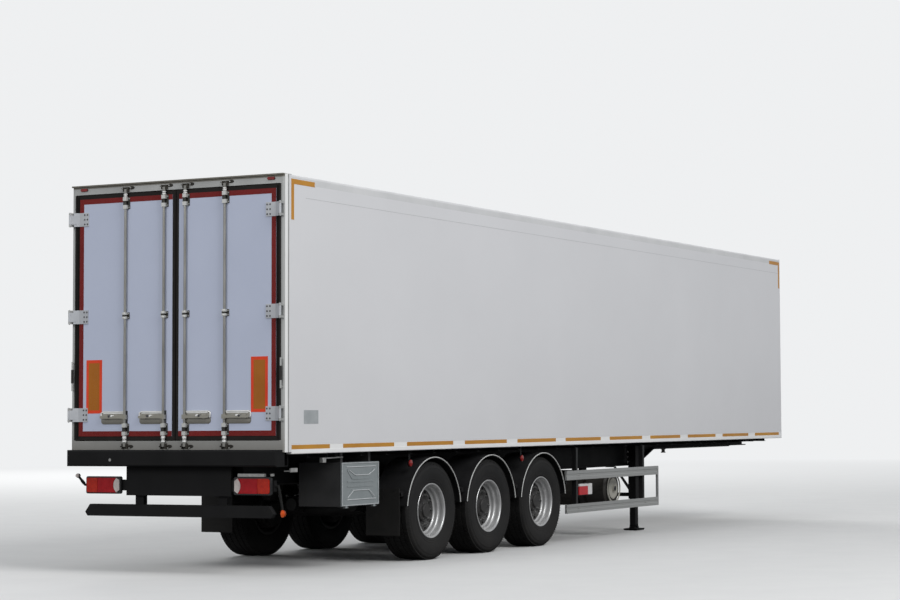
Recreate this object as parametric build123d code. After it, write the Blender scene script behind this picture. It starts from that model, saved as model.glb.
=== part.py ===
from build123d import *
import math
import os

# Refrigerated semi-trailer, in millimetres: +X forward, +Y left, +Z up, ground at z = 0.
# While it is put together, x is counted forward from the rear face of the rear portal.

# Heights from the ground up: tyre, springs, chassis, floor
tyre_radius = 536
ride_height = 344
rail_height = 285
cross_member_height = 60
floor_thick = 115
rail_bottom = tyre_radius + ride_height
rail_top = rail_bottom + rail_height
floor_bottom = rail_top + cross_member_height
floor_top = floor_bottom + floor_thick

# Insulated body
body_width = 2600
roof_top = 3960
box_length = 13600
wall_thick = 60
roof_thick = 85
front_wall_thick = 60
front_corner_radius = 36
panel_joint = 0.3
skirt_drop = 20
rub_rail_height = 95
rub_rail_bevel = 6
tape_width = 46
tape_recess = 2
cant_radius = 28

# Rear portal
portal_depth = 130
portal_corner = 14
jamb_width = 50
header_height = 95
stop_ledge = 10
stop_depth = 96
gutter_depth = 18
gutter_height = 15

# Rear doors
door_thick = 85
door_clearance = 7
seal_gap = 5
seal_width = 40
seal_thick = 74
seal_inset = 4
seal_groove = 6
centre_gap_outer = 4.2
centre_gap_inner = 10.2
centre_seal_width = 30

# Door hinges
pin_behind = 56
pin_inboard = 10
pin_radius = 7
pin_fit = 0.3
pin_end = 6
knuckle_radius = 12
knuckle_play = 1
hinge_height = 140
hinge_plate = 8
hinge_reach = 200
hinge_wing_gap = 22
lug_width = 14
lug_height = 22
low_hinge_rise = 265
top_hinge_drop = 255

# Lock gear: two rods a door
inner_rod = 130
outer_rod = 610
rod_radius = 13.5
rod_stand_off = 22
rod_below_sill = 50
rod_past_header = 30
gear_proud = 38
cam_half = 16
cam_height = 42
keeper_half = 24
keeper_cheek = 8
keeper_foot = 116
keeper_height = 15
low_guide_rise = 115
top_guide_drop = 110
guide_width = 84
guide_height = 66
end_guide_height = 120
guide_band = 42
guide_block = 44
guide_foot = 6
handle_rise = 240
handle_length = 300
handle_height = 28
handle_thick = 12
handle_hub = 48
handle_plate_height = 112
handle_plate_thick = 4
catch_size = 40

# Chassis
rail_inboard = 420
flange_width = 130
flange_thick = 14
web_thick = 8
neck_height = 65
step_start = 9500
step_end = 10100
first_cross_member = 500
cross_member_pitch = 500
cross_member_width = 50
sheet_thick = 6
rear_beam_height = 140
rear_beam_back = 40
rear_beam_front = 160
rear_beam_wall = 8

# Coupling
kingpin_from_rear = 12000
coupling_thick = 10
coupling_ahead = 1200
coupling_behind = 1000
coupling_inset = 30
coupling_bend = 160
coupling_rib = 80
coupling_rib_offset = 300
kingpin_radius = 25.4
kingpin_collar = 36.5
kingpin_flange = 35.75
kingpin_collar_length = 35
kingpin_neck_length = 35
kingpin_flange_length = 14

# Axles and wheels
axle_positions = (2950, 4260, 5570)
tyre_setback = 40
tyre_half = 190
tread_half = 160
shoulder_drop = 34
bead_radius = 284
bead_half = 158
bead_play = 3
flange_radius = 300
rim_lip = 12
fit = 0.3
dish_depth = 202
disc_thick = 12
drum_radius = 212
drum_inner_end = 225
hub_radius = 118
hub_cap_radius = 70
hub_proud = 45
spindle_radius = 45
beam_radius = 73
beam_end_inboard = 270

# Suspension and brakes
seat_height = 8
seat_half_length = 60
arm_thick = 50
arm_width = 90
pivot_ahead = 500
pivot_over_axle = 164
pivot_eye = 40
pivot_bolt = 14
spring_behind = 330
spring_radius = 138
hanger_width = 120
hanger_wall = 10
hanger_drop = 60
shock_radius = 30
shock_inboard = 105
shock_ahead = 115
shock_eye = 20
chamber_radius = 80
chamber_length = 120
chamber_inboard = 250
camshaft_radius = 16
camshaft_behind = 92

# Mudguards and flaps
guard_clearance = 54
guard_thick = 6
guard_lip = 14
guard_lip_thick = 18
guard_inboard = 15
guard_setback = 20
guard_cut_rise = 74
stay_rise = 130
stay_radius = 21
stay_hanger_size = 50
clamp_reach = 95
clamp_width = 70
clamp_height = 60
clamp_inset = 125
flap_bottom = 300
flap_above_stay = 60
flap_thick = 8

# Side guards
side_guard_gap = 25
side_guard_front = 8950
upper_guard_low = 770
upper_guard_high = 885
lower_guard_low = 360
lower_guard_high = 470
guard_rail_setback = 15
guard_rail_thick = 28
guard_groove = 5
guard_post_width = 60
guard_end_width = 30

# Toolbox
toolbox_back = 1130
toolbox_length = 720
toolbox_drop = 65
toolbox_height = 450
toolbox_rail_gap = 6
toolbox_setback = 78
toolbox_wall = 4
toolbox_hanger_inset = 90
lid_thick = 16
lid_clearance = 5.5
lid_border = 14
lid_press = 4
lid_pin_drop = 12
lid_pin_radius = 5
lid_knuckle = 9
lid_knuckle_half = 20
lid_ear = 16
lid_ear_gap = 6

# Rear end
buffer_back = 100
buffer_setback = 20
buffer_radius = 18
buffer_rise = 25
underrun_bottom = 580
underrun_top = 700
underrun_setback = 150
underrun_back = 40
underrun_front = 100
underrun_slope = 60
post_inboard = 90
post_width = 100
lamp_drop = 192
lamp_setback = 170
lamp_length = 440
lamp_height = 176
lamp_depth = 45
lamp_corner = 20
lamp_beam_overhang = 20
lamp_beam_half_height = 55
apron_gap = 50
apron_thick = 6
apron_drop = 103
horn_setback = 62
horn_left_setback = 24
horn_right_drop = 268
horn_left_rise = 92
horn_radius = 14
header_lamp_setback = 150
grab_rise = 245
grab_length = 300
grab_radius = 9
grab_stand_off = 22

# Landing gear
leg_position = 9250
leg_gap = 7
leg_size = 110
leg_inner_size = 86
leg_split = 430
foot_size = 250
foot_width = 200
foot_thick = 12
foot_turn_up = 14
shaft_drop = 80
shaft_radius = 16
gearbox_depth = 45
gearbox_half_length = 60
gearbox_half_height = 65
gearbox_corner = 12
brace_reach = 580
brace_width = 60

# Refrigeration unit
unit_depth = 420
unit_setback = 270
unit_drop = 30
unit_rise = 560
unit_corner = 110
unit_chamfer = 60
grille_half = 720
grille_height = 800
grille_drop = 110
grille_depth = 70
slat_count = 14
slat_depth = 37
evaporator_depth = 230
evaporator_half = 700
evaporator_drop = 95
evaporator_height = 730
evaporator_rim = 40

# Fuel tank, reservoirs and front bracket
tank_position = 7920
tank_drop = 45
tank_radius = 220
tank_setback = 200
tank_inner = 80
tank_port = 38
strap_thick = 6
strap_width = 60
inner_strap = 260
reservoir_radius = 123
reservoir_start = 700
reservoir_length = 1150
reservoir_inboard = 320
reservoir_drop = 20
bracket_half = 320
bracket_depth = 60
bracket_height = 180
bracket_rise = 80
coupling_spread = 240
socket_spread = 110

half = body_width / 2
front_end = box_length + unit_depth
middle = (front_end - buffer_back) / 2
wall_inner = half - wall_thick
ceiling = roof_top - roof_thick
skirt_bottom = floor_bottom - skirt_drop
rub_rail_top = skirt_bottom + rub_rail_height
body_front = box_length - front_wall_thick
jamb = half - jamb_width
header_bottom = roof_top - header_height
pin_y = half - pin_inboard
seal_outer = jamb - seal_gap
seal_bottom = floor_top + door_clearance
seal_top = header_bottom - door_clearance
low_hinge = floor_top + low_hinge_rise
top_hinge = header_bottom - top_hinge_drop
mid_level = (low_hinge + top_hinge) / 2
rod_bottom = floor_top - rod_below_sill
rod_top = header_bottom + rod_past_header
handle_level = floor_top + handle_rise
wheel_y = half - tyre_setback - tyre_half
rail_y = wheel_y - rail_inboard
rail_outer = rail_y + flange_width / 2
neck_bottom = rail_top - neck_height
coupling_half_width = rail_y - coupling_inset
beam_half = wheel_y - beam_end_inboard
rear_beam_bottom = floor_bottom - rear_beam_height
seat_top = tyre_radius + beam_radius + seat_height
pivot_level = tyre_radius + pivot_over_axle
guard_radius = tyre_radius + guard_clearance
guard_inner = wheel_y - tyre_half - guard_inboard
guard_outer = half - guard_setback
guard_cut = tyre_radius + guard_cut_rise
stay_level = guard_cut + stay_rise
stay_gap = (axle_positions[1] - axle_positions[0]) / 2 - guard_radius
first_stay = axle_positions[0] - guard_radius - stay_gap
last_stay = axle_positions[-1] + guard_radius + stay_gap
flap_position = first_stay - clamp_reach
side_guard_back = axle_positions[-1] + guard_radius + side_guard_gap
guard_rail_face = half - guard_rail_setback
toolbox_top = rail_top - toolbox_drop
toolbox_bottom = toolbox_top - toolbox_height
toolbox_inner = rail_outer + toolbox_rail_gap
toolbox_face = half - toolbox_setback
toolbox_front = toolbox_back + toolbox_length
lid_pin_y = toolbox_face + lid_clearance + lid_thick / 2
lid_pin_z = toolbox_bottom - lid_pin_drop
post_outer = rail_y - post_inboard
post_inner = post_outer - post_width
lamp_level = rear_beam_bottom - lamp_drop
lamp_outer = half - lamp_setback
lamp_inner = lamp_outer - lamp_length
apron_half = lamp_inner - apron_gap
lamp_beam_end = lamp_outer + lamp_beam_overhang
header_lamp_y = half - header_lamp_setback
shaft_level = rail_bottom - shaft_drop
leg_inner = rail_outer + leg_gap
unit_half = half - unit_setback
unit_top = roof_top - unit_drop
unit_bottom = floor_top + unit_rise
grille_top = unit_top - grille_drop
grille_low = grille_top - grille_height
evaporator_top = ceiling - evaporator_drop
evaporator_bottom = evaporator_top - evaporator_height
tank_level = rail_bottom - tank_drop - tank_radius
tank_outer = half - tank_setback
reservoir_y = rail_y - reservoir_inboard


def block(x0, x1, y0, y1, z0, z1):
    """Box between two corners, given in either order along each axis."""
    size = (abs(x1 - x0), abs(y1 - y0), abs(z1 - z0))
    return Pos((x0 + x1) / 2, (y0 + y1) / 2, (z0 + z1) / 2) * Box(*size)


def bar(start, end, radius):
    """Round bar between two points."""
    run = Vector(*end) - Vector(*start)
    seat = (Align.CENTER, Align.CENTER, Align.MIN)
    return Plane(origin=start, z_dir=run) * Cylinder(radius, run.length, align=seat)


def along_x(points, x0, x1):
    """Prism along X with its outline as (y, z) points."""
    face = Plane.YZ.offset(x0) * Polygon(*points, align=None)
    return extrude(face, amount=x1 - x0, dir=(1, 0, 0))


def along_y(points, y0, y1):
    """Prism along Y, between two offsets in either order, with its outline as (x, z) points."""
    low, high = min(y0, y1), max(y0, y1)
    face = Plane.XZ.offset(-low) * Polygon(*points, align=None)
    return extrude(face, amount=high - low, dir=(0, 1, 0))


def along_z(points, z0, z1):
    """Prism along Z with its outline as (x, y) points."""
    face = Plane.XY.offset(z0) * Polygon(*points, align=None)
    return extrude(face, amount=z1 - z0, dir=(0, 0, 1))


def turned(points, origin, along, out):
    """Solid turned about a line through origin, from (radius, distance along it) points."""
    flat = Plane(origin=origin, x_dir=out, z_dir=Vector(*out).cross(Vector(*along)))
    return revolve(flat * Polygon(*points, align=None), Axis(origin, along))


def left_of(shape):
    """The same piece on the left side."""
    return mirror(shape, about=Plane.XZ)


def write(name, *solids):
    """One STEP file, moved so that x = 0 is the middle of the whole trailer."""
    whole = solids[0] if len(solids) == 1 else Compound(children=[s for s in solids])
    export_step(Pos(-middle, 0, 0) * whole, f"parts/{name}.step")


def side_wall():
    """Right side wall: one insulated panel between portal and front wall."""
    return block(portal_depth, body_front, -half, -wall_inner, rub_rail_top, ceiling)


def rub_rail():
    """Right lower edge profile, with a shallow channel for the marker tape."""
    tape_top = rub_rail_top - 2 * tape_recess
    outline = [
        (-wall_inner, skirt_bottom),
        (-half + rub_rail_bevel, skirt_bottom),
        (-half, skirt_bottom + rub_rail_bevel),
        (-half, tape_top - tape_width - tape_recess),
        (-half + tape_recess, tape_top - tape_width),
        (-half + tape_recess, tape_top),
        (-half, tape_top + tape_recess),
        (-half, rub_rail_top),
        (-wall_inner, rub_rail_top),
    ]
    return along_x(outline, portal_depth, body_front - panel_joint)


def roof():
    """Roof panel with the rounded cant rails along both edges."""
    panel = block(portal_depth, body_front, -half, half, ceiling, roof_top)
    edges = panel.edges().filter_by(Axis.X).group_by(Axis.Z)[-1]
    return fillet(edges, cant_radius)


def load_floor():
    """Insulated floor between the side walls."""
    return block(portal_depth, body_front, -wall_inner, wall_inner, floor_bottom, floor_top)


def front_wall():
    """Front bulkhead with rounded corners and the opening for the evaporator."""
    wall = block(body_front, box_length, -half, half, skirt_bottom, roof_top)
    corners = wall.edges().filter_by(Axis.Z).group_by(Axis.X)[-1]
    wall = fillet(corners, front_corner_radius)
    return wall - block(
        body_front - 1,
        box_length + 1,
        -evaporator_half + evaporator_rim,
        evaporator_half - evaporator_rim,
        evaporator_bottom + evaporator_rim,
        evaporator_top - evaporator_rim,
    )


def hinge_lugs(level):
    """Right portal's pair of hinge lugs at one level, bored for the pin."""
    x, y = -pin_behind, -pin_y
    root = portal_corner / 2
    outline = [
        (root, -jamb - lug_width),
        (root, -half + portal_corner / 3),
        (x, y - knuckle_radius),
        (x, y + knuckle_radius),
    ]
    lugs = []
    for low in (level - hinge_height / 2, level + hinge_height / 2 - lug_height):
        lug = along_z(outline, low, low + lug_height)
        lug += bar((x, y, low), (x, y, low + lug_height), knuckle_radius)
        lug -= bar((x, y, low - 1), (x, y, low + lug_height + 1), pin_radius + pin_fit)
        lugs.append(lug)
    return lugs


def keeper(offset, foot_low, foot_high, cheek_low, cheek_high):
    """Cam keeper on the portal: a foot and two cheeks, open to the rear."""
    foot_half = keeper_foot / 2
    pieces = [block(-guide_foot, 0, offset - foot_half, offset + foot_half, foot_low, foot_high)]
    for side in (-1, 1):
        near = offset + side * keeper_half
        far = offset + side * (keeper_half + keeper_cheek)
        pieces.append(block(-rod_stand_off - keeper_cheek, 0, near, far, cheek_low, cheek_high))
    return pieces


def rear_frame():
    """Stainless portal with rounded posts: header, sill, gutter, keepers and hinge lugs."""
    frame = block(0, portal_depth, -half, half, floor_bottom, roof_top)
    frame = fillet(frame.edges().filter_by(Axis.Z).group_by(Axis.X)[0], portal_corner)
    frame -= block(-1, stop_depth, -jamb, jamb, floor_top, header_bottom)
    ledge = jamb - stop_ledge
    frame -= block(stop_depth - 1, portal_depth + 1, -ledge, ledge, floor_top, header_bottom - stop_ledge)
    frame += block(-gutter_depth, 0, -half, half, roof_top - gutter_height, roof_top)
    for offset in (-outer_rod, -inner_rod, inner_rod, outer_rod):
        low, high = rod_bottom - 2 * keeper_height, rod_top + keeper_height + 7
        pieces = keeper(offset, low, low + keeper_height, low, rod_bottom + keeper_half)
        pieces += keeper(offset, high - keeper_height, high, rod_top - keeper_half, high)
        for piece in pieces:
            frame += piece
    for level in (low_hinge, mid_level, top_hinge):
        for lug in hinge_lugs(level):
            frame += lug
            frame += left_of(lug)
    return frame


def door_panel():
    """Right door leaf: the insulated panel inside its seal."""
    outer = seal_outer - seal_width
    inner = centre_gap_inner + centre_seal_width
    return block(0, door_thick, -outer, -inner, seal_bottom + seal_width, seal_top - seal_width)


def door_seal():
    """Right door's rubber seal, a frame round the panel that narrows inwards at the middle."""
    outline = [
        (seal_inset, -seal_outer),
        (seal_inset, -centre_gap_outer),
        (seal_inset + seal_thick, -centre_gap_inner),
        (seal_inset + seal_thick, -seal_outer),
    ]
    ring = along_z(outline, seal_bottom, seal_top)
    outer = seal_outer - seal_width
    inner = centre_gap_inner + centre_seal_width
    ring -= block(-1, door_thick + 1, -outer, -inner, seal_bottom + seal_width, seal_top - seal_width)
    for groove in (2, 4):
        y = -seal_outer + groove * seal_groove
        ring -= block(0, seal_inset + seal_groove, y, y + seal_groove, seal_bottom + 12, seal_top - 12)
    return ring


def door_hinges():
    """Right door's three hinge straps: a bolted plate, a cranked wing over the seal, and the pin."""
    x, y = -pin_behind, -pin_y
    door_edge = -seal_outer + seal_width
    wing_edge = y + knuckle_radius + hinge_wing_gap
    wing_outline = [
        (-hinge_plate, door_edge),
        (0, door_edge),
        (0, -seal_outer + lug_width),
        (x / 2, wing_edge),
        (x / 2 - hinge_plate, wing_edge - hinge_plate / 4),
    ]
    crank_outline = [
        (-hinge_plate, door_edge),
        (0, door_edge),
        (0, -seal_outer + lug_width),
        (x + 10, y - 2),
        (x, y + knuckle_radius),
    ]
    straps = []
    for level in (low_hinge, mid_level, top_hinge):
        low, high = level - hinge_height / 2, level + hinge_height / 2
        eye_low = low + lug_height + knuckle_play
        eye_high = high - lug_height - knuckle_play
        strap = block(-hinge_plate, 0, door_edge, y + hinge_reach, low, high)
        strap += along_z(wing_outline, low, high)
        strap += along_z(crank_outline, eye_low, eye_high)
        strap += bar((x, y, eye_low), (x, y, eye_high), knuckle_radius)
        strap += bar((x, y, low - pin_end), (x, y, high + pin_end), pin_radius)
        straps.append(strap)
    return straps


def cam(y, low, high):
    """Two-lobed cam on a rod's end, notched towards its keeper."""
    x = -rod_stand_off
    outline = [
        (x - 14, y - 7),
        (x - 8, y - cam_half),
        (x + 8, y - cam_half),
        (x + 14, y - 8),
        (x + 8, y),
        (x + 14, y + 8),
        (x + 8, y + cam_half),
        (x - 8, y + cam_half),
        (x - 14, y + 7),
    ]
    return along_z(outline, low, high)


def lock_rod(y):
    """Lock rod with its two cams and the flat handle that points outboard."""
    x = -rod_stand_off
    rod = bar((x, y, rod_bottom), (x, y, rod_top), rod_radius)
    rod += cam(y, rod_bottom - keeper_cheek, rod_bottom + cam_height - keeper_cheek)
    rod += cam(y, rod_top - cam_height, rod_top)
    h = handle_hub / 2
    hub = block(-gear_proud + 2, -10, y - h, y + h, handle_level - 22, handle_level + 22)
    grip = block(
        -gear_proud,
        -gear_proud + handle_thick,
        y - handle_length,
        y,
        handle_level - handle_height / 2,
        handle_level + handle_height / 2,
    )
    end = grip.edges().filter_by(Axis.X).group_by(Axis.Y)[0]
    return rod + hub + fillet(end, handle_height * 0.45)


def rod_guide(y, level, height):
    """Wide foot bored for the rod: a pair of bearing blocks, or one on a short foot."""
    low, high = level - height / 2, level + height / 2
    length = min(guide_band, height / 2)
    guide = block(-guide_foot, 0, y - guide_width / 2, y + guide_width / 2, low, high)
    for band in (low, high - length):
        guide += block(-gear_proud, 0, y - guide_block / 2, y + guide_block / 2, band, band + length)
    x = -rod_stand_off
    return guide - bar((x, y, low - 1), (x, y, high + 1), rod_radius + fit)


def handle_plate(y):
    """Rounded plate behind a handle, with the catch that holds the handle's end."""
    plate_middle = y - handle_length / 2 - handle_hub / 2
    plate = Pos(-handle_plate_thick / 2, plate_middle, handle_level) * Box(
        handle_plate_thick, handle_length - 70, handle_plate_height
    )
    plate = fillet(plate.edges().filter_by(Axis.X), 24)
    catch_y = y - handle_length + 1.5 * catch_size
    h = catch_size / 2
    catch = block(
        -gear_proud + handle_thick + fit,
        -handle_plate_thick,
        catch_y - h,
        catch_y + h,
        handle_level - h,
        handle_level + h,
    )
    return plate + catch


def lock_gear():
    """Right door's rods with cams and handles, their guides and handle plates."""
    pieces = []
    # Guides: level and height
    guides = (
        (floor_top + low_guide_rise, end_guide_height),
        (mid_level, guide_height),
        (header_bottom - top_guide_drop, end_guide_height),
    )
    for y in (-inner_rod, -outer_rod):
        pieces.append(lock_rod(y))
        for level, height in guides:
            pieces.append(rod_guide(y, level, height))
        pieces.append(handle_plate(y))
    return pieces


def buffer_beam():
    """Rear loading-dock buffer under the sill, with a lip that covers the sill's lower edge."""
    h = half - buffer_setback
    beam = block(-buffer_back, rear_beam_back, -h, h, rear_beam_bottom, floor_bottom)
    beam += block(-buffer_back, 0, -h, h, floor_bottom, floor_bottom + buffer_rise)
    back = beam.edges().filter_by(Axis.Y).group_by(Axis.X)[0]
    ends = beam.edges().filter_by(Axis.Z).group_by(Axis.X)[0]
    return fillet(back + ends, buffer_radius)


def main_rail(side):
    """Stepped I-beam with the shallow neck over the coupling."""
    inner, outer = side * (rail_y - flange_width / 2), side * rail_outer
    web_inner, web_outer = side * (rail_y - web_thick / 2), side * (rail_y + web_thick / 2)
    rail = block(rear_beam_front, body_front, inner, outer, rail_top - flange_thick, rail_top)
    web = [
        (rear_beam_front, rail_top - 1),
        (rear_beam_front, rail_bottom + 1),
        (step_start, rail_bottom + 1),
        (step_end, neck_bottom + 1),
        (body_front, neck_bottom + 1),
        (body_front, rail_top - 1),
    ]
    rail += along_y(web, web_inner, web_outer)
    lower = [
        (rear_beam_front, rail_bottom),
        (step_start, rail_bottom),
        (step_end, neck_bottom),
        (body_front, neck_bottom),
        (body_front, neck_bottom + flange_thick),
        (step_end - 20, neck_bottom + flange_thick),
        (step_start - 20, rail_bottom + flange_thick),
        (rear_beam_front, rail_bottom + flange_thick),
    ]
    rail += along_y(lower, inner, outer)
    end_plate = block(rear_beam_front, rear_beam_front + 8, inner, outer, rail_bottom, rail_top)
    return rail + end_plate


def rear_beam():
    """Channel across the back of the chassis that carries buffer, sill and underrun posts."""
    w = rear_beam_wall
    outer = block(rear_beam_back, rear_beam_front, -wall_inner, wall_inner, rear_beam_bottom, floor_bottom)
    return outer - block(
        rear_beam_back + w,
        rear_beam_front - w,
        -wall_inner - 1,
        wall_inner + 1,
        rear_beam_bottom + w,
        floor_bottom - w,
    )


def cross_members():
    """Channels between the rails and the floor."""
    pieces = []
    w, t = cross_member_width, sheet_thick
    x = first_cross_member
    while x < body_front - w:
        outline = [
            (x, rail_top),
            (x + w, rail_top),
            (x + w, rail_top + t),
            (x + t, rail_top + t),
            (x + t, floor_bottom - t),
            (x + w, floor_bottom - t),
            (x + w, floor_bottom),
            (x, floor_bottom),
        ]
        pieces.append(along_y(outline, -wall_inner, wall_inner))
        x += cross_member_pitch
    return pieces


def coupling_plate():
    """Skid plate under the neck, bent up at its front, with its ribs and the kingpin."""
    back = kingpin_from_rear - coupling_behind
    front = kingpin_from_rear + coupling_ahead
    low = neck_bottom - coupling_thick
    outline = [
        (back, low),
        (front - coupling_bend, low),
        (front, neck_bottom - 2),
        (front, neck_bottom),
        (back, neck_bottom),
    ]
    plate = along_y(outline, -coupling_half_width, coupling_half_width)
    for x in (kingpin_from_rear - coupling_rib_offset, kingpin_from_rear + coupling_rib_offset):
        reach = rail_y - flange_width / 2
        plate += block(x - coupling_rib / 2, x + coupling_rib / 2, -reach, reach, neck_bottom, rail_top)
    collar = low - kingpin_collar_length
    neck = collar - kingpin_neck_length
    tip = neck - kingpin_flange_length
    pin = [
        (0, low + 2),
        (kingpin_collar, low + 2),
        (kingpin_collar, collar),
        (kingpin_radius, collar),
        (kingpin_radius, neck),
        (kingpin_flange, neck),
        (kingpin_flange, tip),
        (0, tip),
    ]
    return plate + turned(pin, (kingpin_from_rear, 0, 0), (0, 0, 1), (1, 0, 0))


def landing_leg(side):
    """One telescopic leg with its foot, rail bracket and brace."""
    x, h, g = leg_position, leg_size / 2, leg_inner_size / 2
    y = side * (leg_inner + h)
    axle_level = foot_thick + 50
    leg = block(x - h, x + h, y - h, y + h, leg_split, rail_top - 10)
    leg += block(x - g, x + g, y - g, y + g, axle_level - 2, leg_split + 10)
    leg += bar((x, y - g - 12, axle_level), (x, y + g + 12, axle_level), 24)
    leg += block(x - 70, x + 70, y - 40, y + 40, foot_thick - 1, axle_level - 14)
    s = foot_size / 2
    foot = [
        (x - s, foot_turn_up),
        (x - s + 2 * foot_turn_up, 0),
        (x + s - 2 * foot_turn_up, 0),
        (x + s, foot_turn_up),
        (x + s, foot_turn_up + foot_thick),
        (x - s, foot_turn_up + foot_thick),
    ]
    leg += along_y(foot, y - foot_width / 2, y + foot_width / 2)
    leg += block(x - 90, x + 90, side * rail_outer, side * (leg_inner + 1), rail_bottom, rail_top)
    brace = [
        (x - h + 5, leg_split + 90),
        (x - h + 5, leg_split + 90 + brace_width),
        (x - brace_reach + brace_width, rail_bottom),
        (x - brace_reach, rail_bottom),
    ]
    leg += along_y(brace, side * (leg_inner + 20), side * (leg_inner + 30))
    pad_back, pad_front = x - brace_reach - 10, x - brace_reach + brace_width + 10
    pad_inner, pad_outer = side * (rail_y - 20), side * (leg_inner + 30)
    return leg + block(pad_back, pad_front, pad_inner, pad_outer, rail_bottom - 10, rail_bottom)


def landing_gear():
    """Two telescopic legs joined by the drive shaft and a tie, the gearbox and its crank."""
    x, reach = leg_position, leg_inner + 10
    gear = bar((x, -reach, shaft_level), (x, reach, shaft_level), shaft_radius)
    gear += block(x - 25, x + 25, -reach, reach, leg_split + 30, leg_split + 80)
    gear += landing_leg(-1) + landing_leg(1)
    outer = leg_inner + leg_size
    length, height = gearbox_half_length, gearbox_half_height
    gearbox = block(
        x - length, x + length, -outer - gearbox_depth, -outer + 1, shaft_level - height, shaft_level + height
    )
    gear += fillet(gearbox.edges().filter_by(Axis.Y), gearbox_corner)
    crank_y = -outer - gearbox_depth - gearbox_corner - 3
    gear += bar((x, -outer + 5, shaft_level), (x, crank_y, shaft_level), 12)
    gear += bar((x, crank_y, shaft_level), (x - 300, crank_y, shaft_level), 12)
    gear += bar((x - 290, crank_y, shaft_level), (x - 290, crank_y - 110, shaft_level), 14)
    return gear


def wheel_profile():
    """(radius, offset outboard of the tyre's middle) of rim, disc, hub and drum as one."""
    lip = bead_half + bead_play
    face = lip + rim_lip
    disc = face - dish_depth
    return [
        (0, disc + hub_proud),
        (hub_cap_radius, disc + hub_proud),
        (hub_radius, disc + hub_proud - 12),
        (hub_radius, disc),
        (bead_radius - 38, disc + 8),
        (bead_radius - 34, lip - 91),
        (bead_radius - 16, lip - 69),
        (bead_radius - 10, face),
        (flange_radius, face),
        (flange_radius, lip),
        (bead_radius, lip),
        (bead_radius, -lip),
        (flange_radius, -lip),
        (flange_radius - 8, -face),
        (bead_radius - 10, -face),
        (bead_radius - 20, disc - disc_thick - 20),
        (drum_radius, disc - disc_thick),
        (drum_radius, -drum_inner_end),
        (spindle_radius + fit, -drum_inner_end),
        (spindle_radius + fit, disc + 20),
        (0, disc + 20),
    ]


def tyre_profile():
    """(radius, offset) outline of a wide single tyre, filled down to the rim."""
    bore = bead_radius + fit
    return [
        (tyre_radius, -tread_half),
        (tyre_radius, tread_half),
        (tyre_radius - shoulder_drop, tyre_half),
        (bore, bead_half),
        (bore, -bead_half),
        (tyre_radius - shoulder_drop, -tyre_half),
    ]


def placed(profile, side, x):
    """A wheel profile turned about its axle on one side (+1 left, -1 right)."""
    points = [(r, side * (wheel_y + u)) for r, u in profile]
    return turned(points, (x, 0, tyre_radius), (0, 1, 0), (1, 0, 0))


def axle(x):
    """Axle beam with spindles, spring seats, brake backplates, camshafts and chambers."""
    z = tyre_radius
    backplate = wheel_y - drum_inner_end - 8
    tip = wheel_y + bead_half + bead_play + rim_lip - dish_depth + 12
    beam = bar((x, -beam_half, z), (x, beam_half, z), beam_radius)
    beam += bar((x, -tip, z), (x, tip, z), spindle_radius)
    for side in (-1, 1):
        beam += bar((x, side * (backplate - 10), z), (x, side * backplate, z), drum_radius - 24)
        inner, outer = rail_y - arm_width / 2 - 5, rail_y + arm_width / 2 + 5
        seat_back, seat_front = x - seat_half_length, x + seat_half_length
        beam += block(seat_back, seat_front, side * inner, side * outer, z + 20, seat_top)
        lug_front = x + shock_ahead + 25
        beam += block(seat_front - 5, lug_front, side * inner, side * (inner + 25), z, seat_top)
        y = side * (rail_y - chamber_inboard)
        face = x - beam_radius - 25
        beam += block(face - 2, x - 40, y - 30, y + 30, z - 30, z + 110)
        mid = face - chamber_length / 2 - 10
        beam += bar((mid, y, z + 60), (face, y, z + 60), chamber_radius)
        beam += bar((mid - chamber_length, y, z + 60), (mid + 1, y, z + 60), chamber_radius - 10)
        cam_x = x - camshaft_behind
        beam += bar((cam_x, y, z + 48), (cam_x, side * (backplate - 5), z + 48), camshaft_radius)
    return beam


def hanger(x, side):
    """Suspension hanger: a channel under the rail with the arm's pivot bolt."""
    px, y, w = x + pivot_ahead, side * rail_y, hanger_width / 2
    low = pivot_level - hanger_drop
    outline = [
        (px - 80, rail_bottom),
        (px + 90, rail_bottom),
        (px + 60, low),
        (px - 50, low),
    ]
    channel = along_y(outline, y - w, y + w)
    gap = w - hanger_wall
    channel -= block(px - 100, px + 50, y - gap, y + gap, low - 1, rail_bottom - hanger_wall)
    return channel + bar((px, y - w - 12, pivot_level), (px, y + w + 12, pivot_level), pivot_bolt)


def trailing_arm(x, side):
    """Trailing arm from the pivot over the axle to the air spring's seat."""
    px, back = x + pivot_ahead, x - spring_behind - 60
    low, high = side * rail_y - arm_width / 2, side * rail_y + arm_width / 2
    outline = [
        (px, pivot_level - 30),
        (px, pivot_level + 30),
        (x + 120, seat_top + arm_thick),
        (back, seat_top + arm_thick),
        (back, seat_top + arm_thick - 20),
        (x - 100, seat_top),
        (x + 100, seat_top),
    ]
    arm = along_y(outline, low, high)
    arm += bar((px, low, pivot_level), (px, high, pivot_level), pivot_eye)
    return arm - bar((px, low - 1, pivot_level), (px, high + 1, pivot_level), pivot_bolt + fit)


def air_spring(x, side):
    """Rolling-lobe air spring between the arm's end and the rail."""
    z, r = seat_top + arm_thick, spring_radius
    profile = [
        (0, z),
        (r - 50, z),
        (r - 42, z + 62),
        (r - 12, z + 74),
        (r, z + 100),
        (r, rail_bottom - 34),
        (r - 14, rail_bottom - 12),
        (r - 40, rail_bottom),
        (0, rail_bottom),
    ]
    return turned(profile, (x - spring_behind, side * rail_y, 0), (0, 0, 1), (1, 0, 0))


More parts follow.
